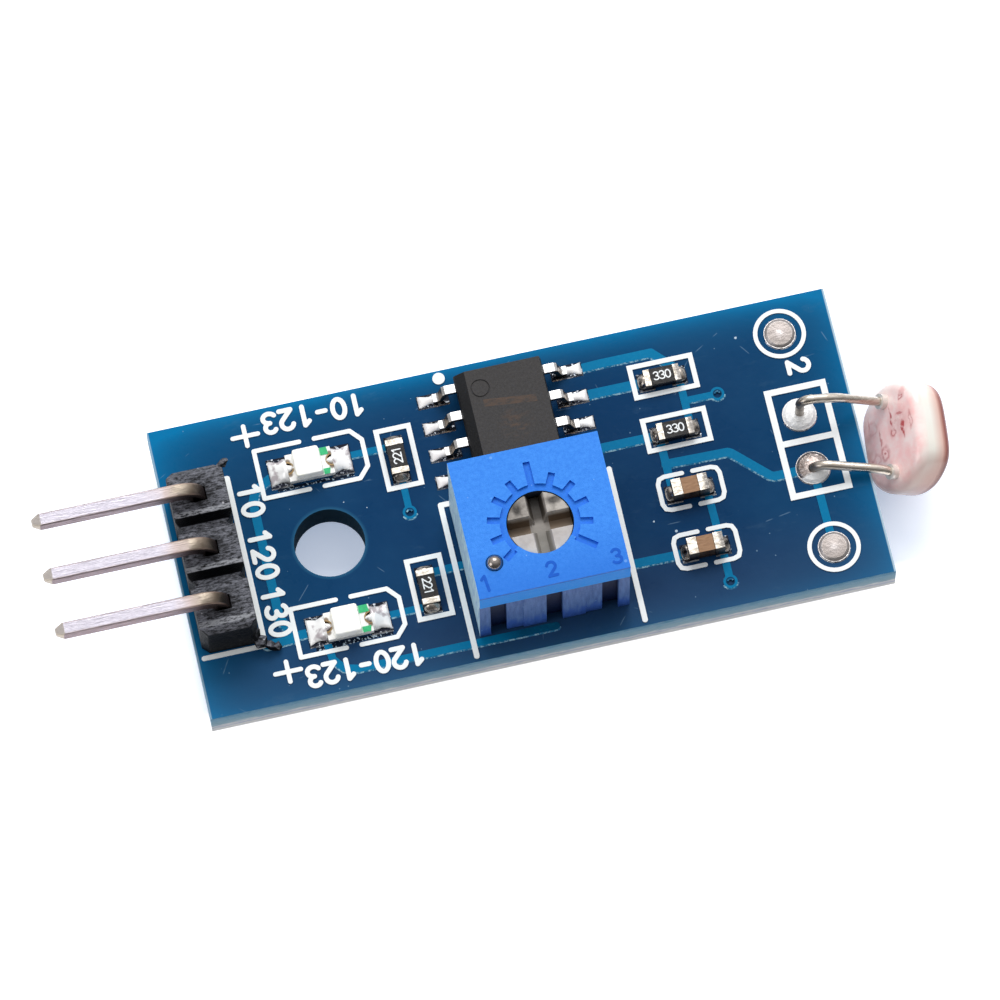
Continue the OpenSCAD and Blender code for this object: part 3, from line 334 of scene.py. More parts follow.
class Finish(Tree):
    """A material: a tree with one Principled shader at its end."""

    def __init__(self, name, **constants):
        self.material = bpy.data.materials.new(name)
        self.material.use_nodes = True
        super().__init__(self.material.node_tree)
        self.shader = self.tree.nodes["Principled BSDF"]
        self.set(**constants)
        self.mm = self.millimetres()

    def set(self, **inputs):
        """Inputs of the shader, named with _ for each space."""
        for key, value in inputs.items():
            self.put(self.shader.inputs[key.replace("_", " ")], value)

    def done(self, height, depth, colour, **inputs):
        """Bumps the shader by a height, with its depth in millimetres, sets its colour and any other
        inputs, and gives the material."""
        bump = self.add("ShaderNodeBump", {"Height": height, "Distance": depth * MM, "Strength": 1.0})
        self.set(Normal=bump.outputs["Normal"], Base_Color=colour, **inputs)
        return self.material

    def specks(self, cell, size, share):
        return self.group(dust, Place=self.mm, Cell=cell, Size=size, Share=share)["Mask"]

    def skin(self, scale, spots):
        """The grain of moulded plastic: its height, and the mask of its paler spots."""
        given = self.group(grain, Place=self.mm, Scale=scale, Spots=spots)
        return given["Height"], given["Mask"]

    def smears(self, along, scale):
        """Streaks and blotches of drawn or wiped metal."""
        given = self.group(smear, Place=self.mm, Along=along, Scale=scale)
        return given["Streak"], given["Blotch"]


def two_tone(name, low, high, scale, depth, **constants):
    """A finish whose colour wanders between two tones, with a slight bump that follows them."""
    m = Finish(name, **constants)
    tone = m.noise(m.mm, scale, 3.0)
    return m.done(tone, depth, m.mix(tone, low, high))


# Materials of the board

def laminate(m):
    """The cut side of the board: mask, grey-blue glass layers with a painted white highlight line, then a
    pale lower part ending in a painted white glint.
    """
    x, y, z = m.axes(m.mm)
    waves = m.range(m.noise(m.stretch(m.mm, (1, 1, 4)), 1.5, 4.0), 0.3, 0.7, -0.1, 0.1)
    depth = m.plus(m.minus(board_high.z, z), waves)
    # The white stops are painted highlights: a glint line at 0.66 and a glint along the foot.
    layers = m.ramp(m.over(depth, board_high.z),
                    (0.0, (84, 144, 180)), (0.2, (130, 178, 206)), (0.45, (152, 190, 208)),
                    (0.58, (176, 204, 222)), (0.66, WHITE), (0.74, (196, 206, 228)),
                    (0.84, (252, 254, 255)), (1.0, WHITE))
    fibres = m.noise(m.stretch(m.mm, (1.2, 1.2, 22)), 2.0, 3.0, 0.7)
    stains = m.noise(m.stretch(m.mm, (0.8, 0.8, 9)), 1.1, 3.0, 0.6)
    side = m.paint(
        layers,
        (m.range(fibres, 0.45, 0.8, 0.0, 0.5), (232, 238, 244)),
        (m.range(stains, 0.58, 0.75, 0.0, 0.35), (96, 114, 130)),
        # Painted shade: the bore of the mounting hole is dark.
        (m.below(m.length(x, y), HOLE_R + 0.1), (20, 52, 70)))
    for via in vias:
        side = m.mix(m.below(m.from_point(x, y, *via), VIA_SHADE_R), side, (10, 50, 84))
    return side


def board_finish():
    """Blue solder mask on the two faces, and bare laminate on the cut sides."""
    m = Finish("board mask", Roughness=0.32, Specular_IOR_Level=0.04)
    x, y = m.axes(m.mm)[:2]
    cloud = m.noise(m.mm, 0.35, 4.0, 0.6)
    veil = m.noise(m.stretch(m.mm, (0.6, 1.6, 1)), 0.8, 5.0, 0.7)
    lines = m.add("ShaderNodeTexVoronoi", {"Vector": m.mm, "Scale": 0.3}, feature="DISTANCE_TO_EDGE")
    hair = m.product(m.below(lines.outputs["Distance"], 0.006), m.range(m.noise(m.mm, 0.9), 0.6, 0.66))
    mask = m.paint(
        # Painted light: the mask brightens towards the board's edges.
        m.mix(m.group(edge_light, Place=m.mm)["Share"], (12, 52, 92), (0, 116, 170)),
        (m.range(cloud, 0.4, 0.75, 0.0, 0.3), (28, 78, 118)),
        (m.range(veil, 0.6, 0.8, 0.0, 0.12), (96, 128, 150)),
        (m.range(y, board_low.y + 4.0, board_low.y, 0.0, 0.14), (96, 74, 56)),
        (m.product(hair, 0.2), (150, 185, 210)),
        (m.range(m.length(x, y), HOLE_R, HOLE_R + 0.16, 0.55, 0.0), (48, 108, 142)))
    # A dark band under each lamp's front: flux, with the carrier's painted shadow and painted white
    # glints.
    flux_shadow_and_glints = m.mix(m.range(m.noise(m.mm, 9.0), 0.56, 0.62), (8, 14, 28), (180, 200, 214))
    for mid in lamp_mids:
        ragged = m.plus(m.away(y, mid.y - 0.76), m.range(veil, 0.3, 0.7, -0.06, 0.06))
        flux_and_shadow = m.product(m.below(ragged, 0.1), m.below(m.away(x, mid.x + 0.1), 1.7), 0.9)
        mask = m.mix(flux_and_shadow, mask, flux_shadow_and_glints)
    # Painted highlights on the mask along the lit right and left cut edges.
    right_edge_highlight = m.range(x, board_high.x - 0.1, board_high.x - 0.06, 0.0, 0.8)
    left_edge_highlight = m.range(x, board_low.x + 0.05, board_low.x + 0.08, 0.5, 0.0)
    mask = m.paint(
        mask,
        (m.most(right_edge_highlight, left_edge_highlight), (190, 214, 226)),
        (m.product(m.specks(1.1, 0.08, 0.4), 0.8), (200, 220, 235)),
        (m.product(m.specks(2.9, 0.11, 0.25), 0.35), (150, 185, 210)))
    face = m.above(m.size(m.facing("True Normal")["Z"]), 0.7)
    return m.done(m.product(m.noise(m.mm, 3.0, 3.0), face), 0.01, m.mix(face, laminate(m), mask),
                  Roughness=m.mix(face, (0.75, 0.75, 0.75, 1), m.range(cloud, 0.3, 0.7, 0.22, 0.42)))


def track_finish():
    """Copper under the mask: teal, paler towards the board's edges as painted light, with a painted
    shadow of the trimmer in front of it.
    """
    m = Finish("track under mask", Roughness=0.3, Specular_IOR_Level=0.05)
    x, y = m.axes(m.mm)[:2]
    # Painted shadow of the trimmer on the tracks in front of it.
    trimmer_shadow = m.product(m.range(x, case_low.x + 0.8, case_low.x + 1.8), m.below(y, case_low.y + 0.3),
                       m.below(x, case_high.x))
    uneven = m.noise(m.mm, 6.0, 4.0, 0.7)
    colour = m.paint(
        # Painted light: the tracks pale towards the board's edges.
        m.mix(m.group(edge_light, Place=m.mm)["Share"], (4, 112, 158), (2, 138, 186)),
        (m.product(trimmer_shadow, 0.75), (8, 66, 96)),
        (m.range(uneven, 0.5, 0.75, 0.0, 0.25), (30, 142, 184)))
    for via in vias:
        shade = m.range(m.from_point(x, y, *via), VIA_SHADE_R + 0.01, VIA_SHADE_R - 0.01)
        colour = m.mix(shade, colour, (10, 58, 92))
    return m.done(uneven, 0.006, colour)


def glint_finish():
    """The mask's slope down a track's side, with painted glints in bright dots."""
    m = Finish("mask glint", Roughness=0.25, Specular_IOR_Level=0.4)
    dots = m.noise(m.mm, 7.0, 3.0, 0.7)
    # The bright dots are painted glints.
    return m.done(dots, 0.02, m.mix(m.range(dots, 0.46, 0.62), (14, 108, 152), (158, 202, 220)))


def print_finish():
    """White printed ink, slightly uneven and a little blue where it is thin."""
    m = Finish("white print", Roughness=0.5, Specular_IOR_Level=0.3)
    thin = m.noise(m.mm, 5.0, 4.0, 0.7)
    return m.done(thin, 0.004,
                  m.mix(m.range(thin, 0.55, 0.8, 0.0, 0.4), (248, 252, 253), (208, 228, 236)))


# Materials of metal and solder

def tin_finish(name, bright, dull, roughness, scale=4.0, bump=0.012, slope=None, metal=1.0):
    """Soldered or tinned metal with dull and bright patches; slope is a painted shade on its steep faces.
    """
    m = Finish(name, Metallic=metal)
    streak, blotch = m.smears((1.0, 1.6, 1.0), scale)
    colour = m.mix(m.range(streak, 0.6, 1.0, 0.0, 0.5), m.mix(blotch, dull, bright), bright)
    if slope:
        # Painted shade: steep faces take the slope colour.
        colour = m.mix(m.range(m.facing()["Z"], 0.9, 0.6), colour, slope)
    return m.done(m.noise(m.mm, scale * 2, 3.0), bump, colour,
                  Roughness=m.range(blotch, 0.0, 1.0, roughness + 0.18, roughness))


def beside_pin(m, y):
    """Distance in Y from the middle of the nearest header pin."""
    return m.away(m.math("MODULO", m.plus(y, pin_step * 2.5), pin_step), pin_step / 2)


def pin_finish():
    """Tinned square wire: pale along the arm, with a painted brown sheen and shadow at the bend and
    painted shade on its sides and edges.
    """
    m = Finish("pin metal", Metallic=1.0)
    x, y = m.axes(m.mm)[:2]
    facing = m.facing()
    streak, blotch = m.smears((0.5, 9.0, 9.0), 2.2)
    fine = m.noise(m.stretch(m.mm, (3.0, 14.0, 14.0)), 1.6, 4.0, 0.7)
    pale = m.mix(m.range(fine, 0.35, 0.65), (166, 161, 173), (194, 190, 199))
    uneven_x = m.plus(x, m.range(blotch, 0.0, 1.0, -0.15, 0.15))
    toward_bend = m.range(uneven_x, strip_low.x - 1.0, strip_low.x + 1.6)
    # Brown sheen towards the bend, darkening to shadow at its end: painted light.
    bend_sheen_and_shadow = m.ramp(toward_bend, (0.0, (190, 182, 188)), (0.3, (172, 158, 156)), (0.55, (156, 145, 132)),
                  (0.78, (116, 104, 92)), (0.9, (66, 57, 49)), (1.0, (30, 26, 23)))
    # Painted shade on the rounded edges of the top.
    edge = m.product(m.range(beside_pin(m, y), 0.2, 0.24), m.range(facing["Z"], 0.2, 0.7), 0.55)
    top = m.paint(pale, (m.range(toward_bend, 0.0, 0.3), bend_sheen_and_shadow), (edge, (140, 118, 108)))
    # The sides are painted darker than the top, as shade.
    side = m.mix(streak, (104, 86, 90), (158, 140, 144))
    # The sides darken towards the bend as painted shadow.
    side = m.mix(m.range(toward_bend, 0.15, 0.7, 0.0, 0.9), side, (52, 40, 32))
    tip = m.product(m.range(facing["X"], -0.2, -0.4), m.below(x, pin_low.x + 0.6), 0.75)
    colour = m.paint(side, (m.range(facing["Z"], 0.35, 0.6), top), (tip, (186, 176, 158)))
    return m.done(streak, 0.008, colour, Roughness=m.range(streak, 0.0, 1.0, 0.46, 0.34))


def part_solder_finish():
    """Fillets of the chip parts: grey and white under the lamps as painted highlight, dark and glassy
    elsewhere as painted dark reflection.
    """
    m = Finish("part solder", Roughness=0.2)
    near_lamps = m.below(m.size(m.axes(m.mm)[0]), LAMP_ZONE)
    patches = m.noise(m.mm, 1.4, 3.0, 0.55)
    # White and grey near the lamps is painted highlight; the dark facets elsewhere are painted dark
    # reflection.
    bright = m.mix(m.range(patches, 0.38, 0.46), (186, 178, 182), WHITE)
    facets = m.noise(m.stretch(m.mm, (1.0, 2.0, 1.0)), 1.6, 3.0, 0.6)
    dark = m.mix(m.range(facets, 0.34, 0.56), (40, 40, 44), (190, 180, 170))
    return m.done(patches, 0.04, m.mix(near_lamps, dark, bright),
                  Metallic=m.range(near_lamps, 0, 1, 0.85, 0.2))


def pad_finish():
    """Pads: bright round ones at the sensor, and dark rims round the soldered parts as painted shadow and
    dark reflection.
    """
    m = Finish("pad metal", Metallic=1.0, Roughness=0.3)
    round_ones = m.above(m.axes(m.mm)[0], board_high.x - 4.5)
    rough = m.noise(m.mm, 6.0, 4.0, 0.7)
    # Dark pad rims are painted shadow and dark reflection.
    rim = m.mix(m.range(rough, 0.56, 0.66), (26, 28, 36), (190, 196, 204))
    return m.done(rough, 0.02, m.mix(round_ones, rim, m.mix(rough, (150, 144, 142), (224, 220, 218))))


def sensor_solder_finish():
    """The back joint is white as painted highlight; the front one is grey-brown with a painted highlight
    on its lower side.
    """
    m = Finish("sensor solder", Roughness=0.3)
    x, y = m.axes(m.mm)[:2]
    pitted = m.smears((1.0, 1.3, 1.0), 5.0)[0]
    front = m.range(y, 0.2, -0.2)
    low = m.range(m.minus(y, m.product(x, 0.2)), -5.78, -5.9)
    # Outside the grey-brown part the solder is painted white, as highlight.
    grey = m.product(front, m.minus(1.0, low))
    dull = m.mix(pitted, (128, 112, 104), (190, 180, 176))
    return m.done(pitted, 0.02, m.mix(grey, WHITE, dull), Metallic=m.range(grey, 0.0, 1.0, 0.15, 1.0))


def spare_solder_finish():
    """Solder that filled an empty hole: grey, pitted, with a ring near its rim and a painted highlight at
    its middle.
    """
    m = Finish("spare solder", Metallic=1.0, Roughness=0.46)
    x, y = m.axes(m.mm)[:2]
    out = m.from_point(x, m.size(y), (spare_low.x + spare_high.x) / 2, spare_high.y - PAD_R)
    # Lighter at the middle as a painted highlight.
    ring = m.ramp(m.over(out, PAD_R),
                  (0.0, (200, 193, 192)), (0.14, (190, 183, 181)), (0.3, (166, 158, 155)),
                  (0.72, (156, 148, 144)), (0.8, (186, 180, 178)), (0.9, (150, 143, 141)),
                  (1.0, (186, 183, 184)))
    pitted = m.smears((1.0, 1.2, 1.0), 5.0)[0]
    return m.done(pitted, 0.009, m.mix(m.range(pitted, 0.5, 1.0, 0.0, 0.3), ring, (150, 140, 134)))


def wire_finish():
    """Drawn sensor lead: grey-brown, dark at the bend over its joint."""
    m = Finish("sensor wire", Metallic=1.0)
    streak, blotch = m.smears((0.4, 5.0, 5.0), 1.4)
    colour = m.mix(streak, (186, 174, 160), (232, 224, 214))
    bend = m.range(m.axes(m.mm)[0], board_high.x - 1.9, board_high.x - 2.6)
    return m.done(streak, 0.002, m.mix(m.product(bend, 0.8), colour, (84, 74, 66)),
                  Roughness=m.range(blotch, 0.0, 1.0, 0.34, 0.22))


# Materials of the header, the trimmer and the comparator

def strip_finish():
    """Black moulded plastic, scuffed grey on top, with painted shadow round the pins, pale along the
    notches partly as painted highlight.
    """
    m = Finish("header plastic", Roughness=0.5, Specular_IOR_Level=0.12)
    x, y = m.axes(m.mm)[:2]
    upward = m.facing()["Z"]
    height, spots = m.skin(5.0, 0.55)
    scuff = m.noise(m.stretch(m.mm, (2.0, 6.0, 2.0)), 2.0, 4.0, 0.7)
    from_pin = m.length(m.minus(x, strip_low.x + 1.3), beside_pin(m, y))
    # Painted shadow of the pins on the top.
    pin_shadow = m.product(m.range(from_pin, 1.0, 0.35), m.range(scuff, 0.62, 0.4, 0.5, 1.0), 0.85)
    beyond = m.math("MODULO", m.plus(y, pin_step * 2), pin_step)
    # Pale ridges by the notches: partly scuffing, partly painted highlight.
    ridge_wear_and_highlight = m.product(m.below(m.away(beyond, pin_step * 0.5 + 0.46), 0.13),
                      m.range(scuff, 0.38, 0.55), m.range(upward, 0.6, 0.8), 0.75)
    worn = m.paint(
        m.mix(m.range(scuff, 0.38, 0.68), (24, 25, 28), (134, 136, 146)),
        (spots, (140, 142, 150)),
        (pin_shadow, (8, 8, 10)),
        (m.product(m.specks(2.6, 0.13, 0.35), 0.7), (196, 196, 202)),
        (ridge_wear_and_highlight, (160, 162, 168)))
    # The sides are painted darker than the scuffed top, as shade.
    low = m.mix(m.range(scuff, 0.55, 0.8), (2, 3, 6), (22, 27, 36))
    return m.done(m.plus(height, m.product(scuff, 0.8)), 0.05,
                  m.mix(m.range(upward, 0.5, 0.8), low, worn),
                  Roughness=m.range(scuff, 0.3, 0.7, 0.42, 0.62))


def trimmer_finish():
    """Bright blue moulded plastic, with painted light: greyer shaded ribs, a grey sheen on the left side,
    dark shade in the engraved marks.
    """
    m = Finish("trimmer plastic", Roughness=0.5, Specular_IOR_Level=0.18)
    x, y, z = m.axes(m.mm)
    facing = m.facing()
    height = m.skin(6.0, 0.5)[0]
    front = m.range(y, case_low.y + 2.2, case_low.y + 0.2)
    steep = m.range(facing["Z"], 0.7, 0.4)
    under_top = m.minus(case_high.z, z)
    dial = m.product(m.above(under_top, 0.06), m.below(under_top, DIAL_DEPTH + 0.01))
    from_window = m.from_point(x, y, rotor_mid.x, rotor_mid.y)
    # The window's wall: a painted highlight at its top edge, painted shade below.
    wall = m.mix(m.below(under_top, 0.14), (40, 46, 60), (90, 184, 255))
    bright = m.paint(
        m.mix(m.range(height, 0.35, 0.65), (46, 128, 232), (63, 146, 246)),
        # Painted shade: the top darkens towards the front.
        (m.product(front, 0.6), (24, 108, 212)),
        # Painted shade on the floors of the dial's marks.
        (m.product(dial, m.minus(1.0, steep), 0.5), (10, 104, 222)),
        # Painted light: steep faces, the lip's front most, in a brighter, fuller blue.
        (m.product(steep, 0.97), (0, 150, 255)),
        # Painted shade on the walls of the dial's marks and along the top of the lip's front.
        (m.product(m.below(under_top, DIAL_DEPTH), steep, 0.85), (16, 104, 214)),
        (m.product(m.below(from_window, WINDOW_R + 0.07), steep), wall))
    streak = m.noise(m.stretch(m.mm, (6.0, 6.0, 0.7)), 1.2, 4.0, 0.65)
    foot = m.range(m.plus(z, m.range(streak, 0.3, 0.7, -0.4, 0.4)), 2.9, 2.3)
    # The ribs under the lip, painted greyer as shade, bluer at their foot as a painted reflection of the
    # board, darkest set back from the front as painted shade.
    ribs = m.paint(
        m.mix(m.range(streak, 0.35, 0.65), (68, 100, 160), (92, 126, 186)),
        (m.product(foot, 0.7), (42, 88, 184)),
        (m.range(y, case_low.y + 0.25, case_low.y + 0.4), (5, 22, 60)))
    low = m.range(under_top, LIP_T - 0.02, LIP_T + 0.02)
    # A grey painted sheen on the left side, in streaks.
    left = m.product(m.range(facing["X"], -0.6, -0.8), m.below(x, case_low.x + 0.25))
    left_side_sheen = m.mix(m.range(streak, 0.3, 0.7), (130, 172, 218), (222, 252, 255))
    spots = m.product(m.specks(2.2, 0.16, 0.25), 0.35)
    return m.done(height, 0.02, m.paint(bright, (low, ribs), (left, left_side_sheen), (spots, (150, 200, 255))))


def rotor_finish():
    """Grey-cream plastic: brown in its cross slot, painted light to dark upwards as shade; its upper side
    darker, partly dirt and partly painted shadow.
    """
    m = Finish("rotor plastic", Roughness=0.4, Specular_IOR_Level=0.3)
    x, y, z = m.axes(m.mm)
    across = m.minus(x, rotor_mid.x)
    up = m.minus(y, rotor_mid.y)
    cloud = m.noise(m.mm, 2.2, 3.0, 0.6)
    lower = m.mix(m.range(cloud, 0.35, 0.7), (176, 170, 168), (196, 191, 188))
    # Two dents in the upper face, painted dark as shade.
    dent_shade = 0.0
    for place_and_size in ((-0.86, 0.85, 0.2, 0.36), (0.79, 0.9, 0.4, 0.2)):
        beyond = m.from_point(across, up, *place_and_size)
        dent_shade = m.most(dent_shade, m.range(beyond, 1.15, 0.55))
    patchy = m.range(cloud, 0.4, 0.6)
    # The upper side is darker, most at the left: partly dirt, partly painted shadow of the window's wall.
    upper = m.paint(
        m.mix(patchy, (136, 130, 124), (184, 178, 171)),
        (m.range(across, 0.0, -0.7, 0.0, 0.45), (84, 78, 73)),
        (m.product(dent_shade, 0.92), m.mix(patchy, (46, 42, 40), (100, 96, 92))))
    face = m.mix(m.range(up, -0.15, 0.35), lower, upper)
    # The slots shade from light below to dark above: painted shade.
    brown = m.ramp(m.range(up, -0.5, 0.45), (0.0, (176, 162, 146)), (0.5, (112, 94, 76)),
                   (1.0, (64, 54, 46)))
    upright = m.ramp(m.range(up, -1.3, 1.3), (0.0, (150, 146, 140)), (0.35, (138, 134, 128)),
                     (0.55, (150, 144, 138)), (0.68, (70, 64, 58)), (1.0, (48, 44, 40)))
    slots = m.mix(m.below(m.size(across), SLOT_HALF), brown, upright)
    down = m.range(z, rotor_high.z - 0.08, rotor_high.z - 0.3)
    glints = m.product(m.below(m.length(across, up), 0.4), m.range(m.noise(m.mm, 4.0), 0.62, 0.7), 0.7)
    return m.done(cloud, 0.03, m.paint(face, (down, slots), (glints, (245, 242, 238))))


def chip_finish():
    """Charcoal epoxy with a fine grain, a bevel painted darker as shade and faint brown scorch marks on
    its top.
    """
    m = Finish("chip epoxy", Roughness=0.6, Specular_IOR_Level=0.25)
    x, y = m.axes(m.mm)[:2]
    mid = (chip_low + chip_high) / 2
    height = m.skin(9.0, 0.5)[0]
    slant = m.plus(y, m.product(m.minus(x, mid.x), 0.11))
    broken = m.noise(m.stretch(m.mm, (0.9, 2.4, 1.0)), 3.0, 4.0, 0.7)
    bar = m.product(m.below(m.away(slant, mid.y + 0.62), 0.17), m.below(m.away(x, mid.x + 0.2), 1.15),
                    m.range(broken, 0.3, 0.6), 0.85)
    from_blotch = m.from_point(x, y, mid.x + 0.2, mid.y - 0.5)
    blotch = m.product(m.range(from_blotch, 0.9, 0.2), m.range(broken, 0.45, 0.6), 0.7)
    colour = m.paint(
        m.mix(m.range(height, 0.35, 0.65), (50, 48, 48), (64, 62, 62)),
        (m.most(bar, blotch), (86, 68, 56)),
        # The bevel is painted darker, as shade.
        (m.range(m.facing()["Z"], 0.95, 0.75), (17, 17, 19)))
    return m.done(height, 0.015, colour)


# Materials of the small parts

def capacitor_finish():
    """Brown ceramic, streaked along the part, its sides painted dark as shade."""
    m = Finish("capacitor ceramic", Roughness=0.45, Specular_IOR_Level=0.3)
    tone = m.noise(m.stretch(m.mm, (1.0, 4.0, 4.0)), 3.0, 4.0, 0.6)
    top = m.mix(m.range(tone, 0.35, 0.65), (146, 108, 76), (172, 132, 98))
    # Painted shade on the sides.
    return m.done(tone, 0.008, m.mix(m.range(m.facing()["Z"], 0.5, 0.8), (58, 42, 32), top))


def end_finish():
    """End caps: silvery white on top, dark down their sides as painted reflection, darker on the rounded
    ends that face +X as painted shade.
    """
    m = Finish("end cap", Metallic=0.85, Roughness=0.3)
    x, y = m.axes(m.mm)[:2]
    streak = m.smears((1.0, 1.6, 1.0), 4.0)[0]
    # The rounded outer ends are painted darker as shade.
    dull = 0.0
    for name in ("resistor_1_ends", "resistor_2_ends", "capacitor_1_ends", "capacitor_2_ends"):
        low, high = box_mm(name)
        on_part = m.below(m.away(y, (low.y + high.y) / 2), 0.6)
        dull = m.most(dull, m.product(m.range(x, high.x - 0.26, high.x - 0.12), on_part))
    top = m.paint(
        m.mix(m.range(streak, 0.3, 0.7), (190, 181, 168), (238, 232, 222)),
        (m.product(dull, 0.85), (112, 108, 106)))
    # The sides are painted dark as a reflection of the board.
    return m.done(streak, 0.006, m.mix(m.range(m.facing()["Z"], 0.6, 0.95), (46, 46, 52), top))


def carrier_finish():
    """Cream board under a lamp, with brown spots of painted shade where its end notches meet the solder.
    """
    m = Finish("lamp carrier", Roughness=0.5)
    x, y = m.axes(m.mm)[:2]
    tone = m.noise(m.mm, 5.0, 3.0)
    colour = m.mix(tone, (255, 254, 250), WHITE)
    # Brown spots at the notches' corners are painted shade.
    for mid in lamp_mids:
        corner = m.from_point(m.away(x, mid.x), m.away(y, mid.y), 0.93, 0.3)
        colour = m.mix(m.range(corner, 0.08, 0.15, 0.9, 0.0), colour, (112, 88, 60))
    return m.done(tone, 0.008, colour)


def lens_finish():
    """Milky epoxy over a lamp's chip; its faint glow stands for the light that it scatters."""
    m = Finish("lamp lens", Roughness=0.25, Specular_IOR_Level=0.4, Coat_Weight=0.3, Coat_Roughness=0.15,
               Emission_Color=(1, 0.98, 0.9, 1), Emission_Strength=0.16)
    tone = m.noise(m.mm, 3.0, 3.0)
    return m.done(tone, 0.01, m.mix(m.range(tone, 0.4, 0.65), WHITE, (255, 254, 242)))


# Materials of the light sensor

def disc_place(m):
    """Place in the sensor disc's own frame, from the middle of its back: depth, across and up."""
    offset = m.vectors("SUBTRACT", m.mm, disc_back)[0]
    return [m.vectors("DOT_PRODUCT", offset, axis)["Value"] for axis in disc_turn.col]


# Red marks on the back of the resin, in millimetres from its middle: place across and up, half
# width and half height, how far the inside is clear as a share, and strength
resin_marks = [
    (0.07, 1.06, 0.42, 0.13, 0.0, 1.0), (0.71, 0.32, 0.34, 0.09, 0.0, 0.9),
    (0.11, 0.29, 0.2, 0.22, 0.55, 0.85), (0.79, 0.97, 0.08, 0.28, 0.0, 0.7),
    (0.5, 0.62, 0.14, 0.12, 0.0, 0.5), (1.5, 1.15, 0.14, 0.17, 0.45, 0.8),
    (-0.63, -0.46, 0.38, 0.32, 0.68, 0.85), (-0.63, -0.46, 0.1, 0.1, 0.0, 0.7),
    (0.11, -0.59, 0.42, 0.07, 0.0, 0.6), (1.0, -1.3, 0.34, 0.07, 0.0, 0.45),
    (0.7, -1.1, 0.36, 0.34, 0.78, 0.5), (1.07, 0.29, 0.26, 0.07, 0.0, 0.6),
    (0.25, 1.6, 0.42, 0.12, 0.5, 0.55), (-0.69, -1.05, 0.28, 0.26, 0.7, 0.5),
    (1.63, 1.26, 0.3, 0.2, 0.0, 0.35), (-0.8, -1.3, 0.22, 0.2, 0.0, 0.35),
    (0.35, 1.0, 0.65, 0.5, 0.0, 0.26), (0.4, 0.25, 0.6, 0.25, 0.0, 0.18)]


def resin_finish():
    """Clear resin over ceramic: pink with red marks on the back, cream round the rim, red at the face."""
    m = Finish("sensor resin", Roughness=0.2, Specular_IOR_Level=0.4, Coat_Weight=0.35,
               Coat_Roughness=0.1)
    depth, across, up = disc_place(m)
    pink = m.mix(m.range(m.noise(m.mm, 1.3, 4.0, 0.6), 0.35, 0.65), (255, 204, 202), (255, 232, 229))
    drift = m.add("ShaderNodeTexNoise", {"Vector": m.mm, "Scale": 3.0, "Detail": 3.0}).outputs["Color"]
    shake = m.axes(drift)
    bent_across = m.plus(across, m.range(shake[0], 0.3, 0.7, -0.07, 0.07))
    bent_up = m.plus(up, m.range(shake[1], 0.3, 0.7, -0.07, 0.07))
    broken = m.range(m.noise(m.mm, 3.5, 3.0, 0.6), 0.28, 0.48)
    red = 0.0
    for *place_and_size, hollow, strength in resin_marks:
        out = m.from_point(bent_across, bent_up, *place_and_size)
        spot = m.range(out, 1.2, 0.6)
        if hollow:
            spot = m.product(spot, m.range(out, hollow - 0.15, hollow + 0.1))
        red = m.most(red, m.product(spot, broken, strength))
    cream = m.mix(m.noise(m.mm, 1.0), (255, 248, 236), (255, 255, 250))
    # Pink on the rim's front side, as painted shade.
    low = m.product(m.range(across, -1.2, -2.2), m.range(depth, 0.0, 0.8, 0.35, 0.85))
    left = m.minus(-1.0, m.plus(up, m.range(shake[0], 0.3, 0.7, -0.2, 0.2)))
    colour = m.paint(
        pink,
        (m.range(across, 1.1, 2.3, 0.0, 0.6), (255, 246, 240)),
        (m.product(red, 0.95), (190, 62, 64)),
        (m.range(depth, 0.05, 0.5), cream),
        (m.range(depth, 0.75, 1.34, 0.0, 0.8), (224, 152, 134)),
        (low, (244, 196, 184)),
        (m.range(left, 0.0, 1.1, 0.0, 0.55), (150, 108, 104)),
        (m.range(depth, 1.2, 1.44, 0.0, 0.88), (122, 40, 38)))
    return m.done(m.noise(m.mm, 1.2, 3.0), 0.03, colour)


ceramic = two_tone("trimmer ceramic", (196, 186, 158), (232, 226, 206), 3.0, 0.008, Roughness=0.5)

# The finish of each material slot of the record
finishes = {
    "board": board_finish(),
    "tracks": track_finish(),
    "pads": pad_finish(),
    "print": print_finish(),
    "strip": strip_finish(),
    "pins": pin_finish(),
    "solder": tin_finish("solder", (232, 230, 228), (136, 128, 122), 0.2),
    "trimmer_case": trimmer_finish(),
    "trimmer_rotor": rotor_finish(),
    "trimmer_ceramic": ceramic,
    "trimmer_seal": ceramic,
    "contact": tin_finish("contact brass", (214, 180, 110), (150, 116, 60), 0.3),
    "ball": tin_finish("steel ball", (168, 160, 155), (126, 118, 113), 0.14, scale=1.5, bump=0.0005),
    "chip": chip_finish(),
    # The leads' sloping parts are painted darker as shade.
    "leads": tin_finish("lead tin", WHITE, (232, 230, 230), 0.25, scale=3.0, bump=0.006,
                        slope=(132, 116, 98)),
    "resistor": two_tone("resistor coat", (10, 9, 9), (34, 30, 30), 6.0, 0.01,
                         Roughness=0.22, Specular_IOR_Level=0.4),
    "capacitor": capacitor_finish(),
    "ends": end_finish(),
    "lamp_carrier": carrier_finish(),
    "lamp_lens": lens_finish(),
    "sensor_coat": resin_finish(),
    "sensor_layer": two_tone("sensor layer", (120, 40, 28), (170, 74, 52), 4.0, 0.01,
                             Roughness=0.3, Coat_Weight=0.6, Coat_Roughness=0.1),
    "sensor_wire": wire_finish(),
}

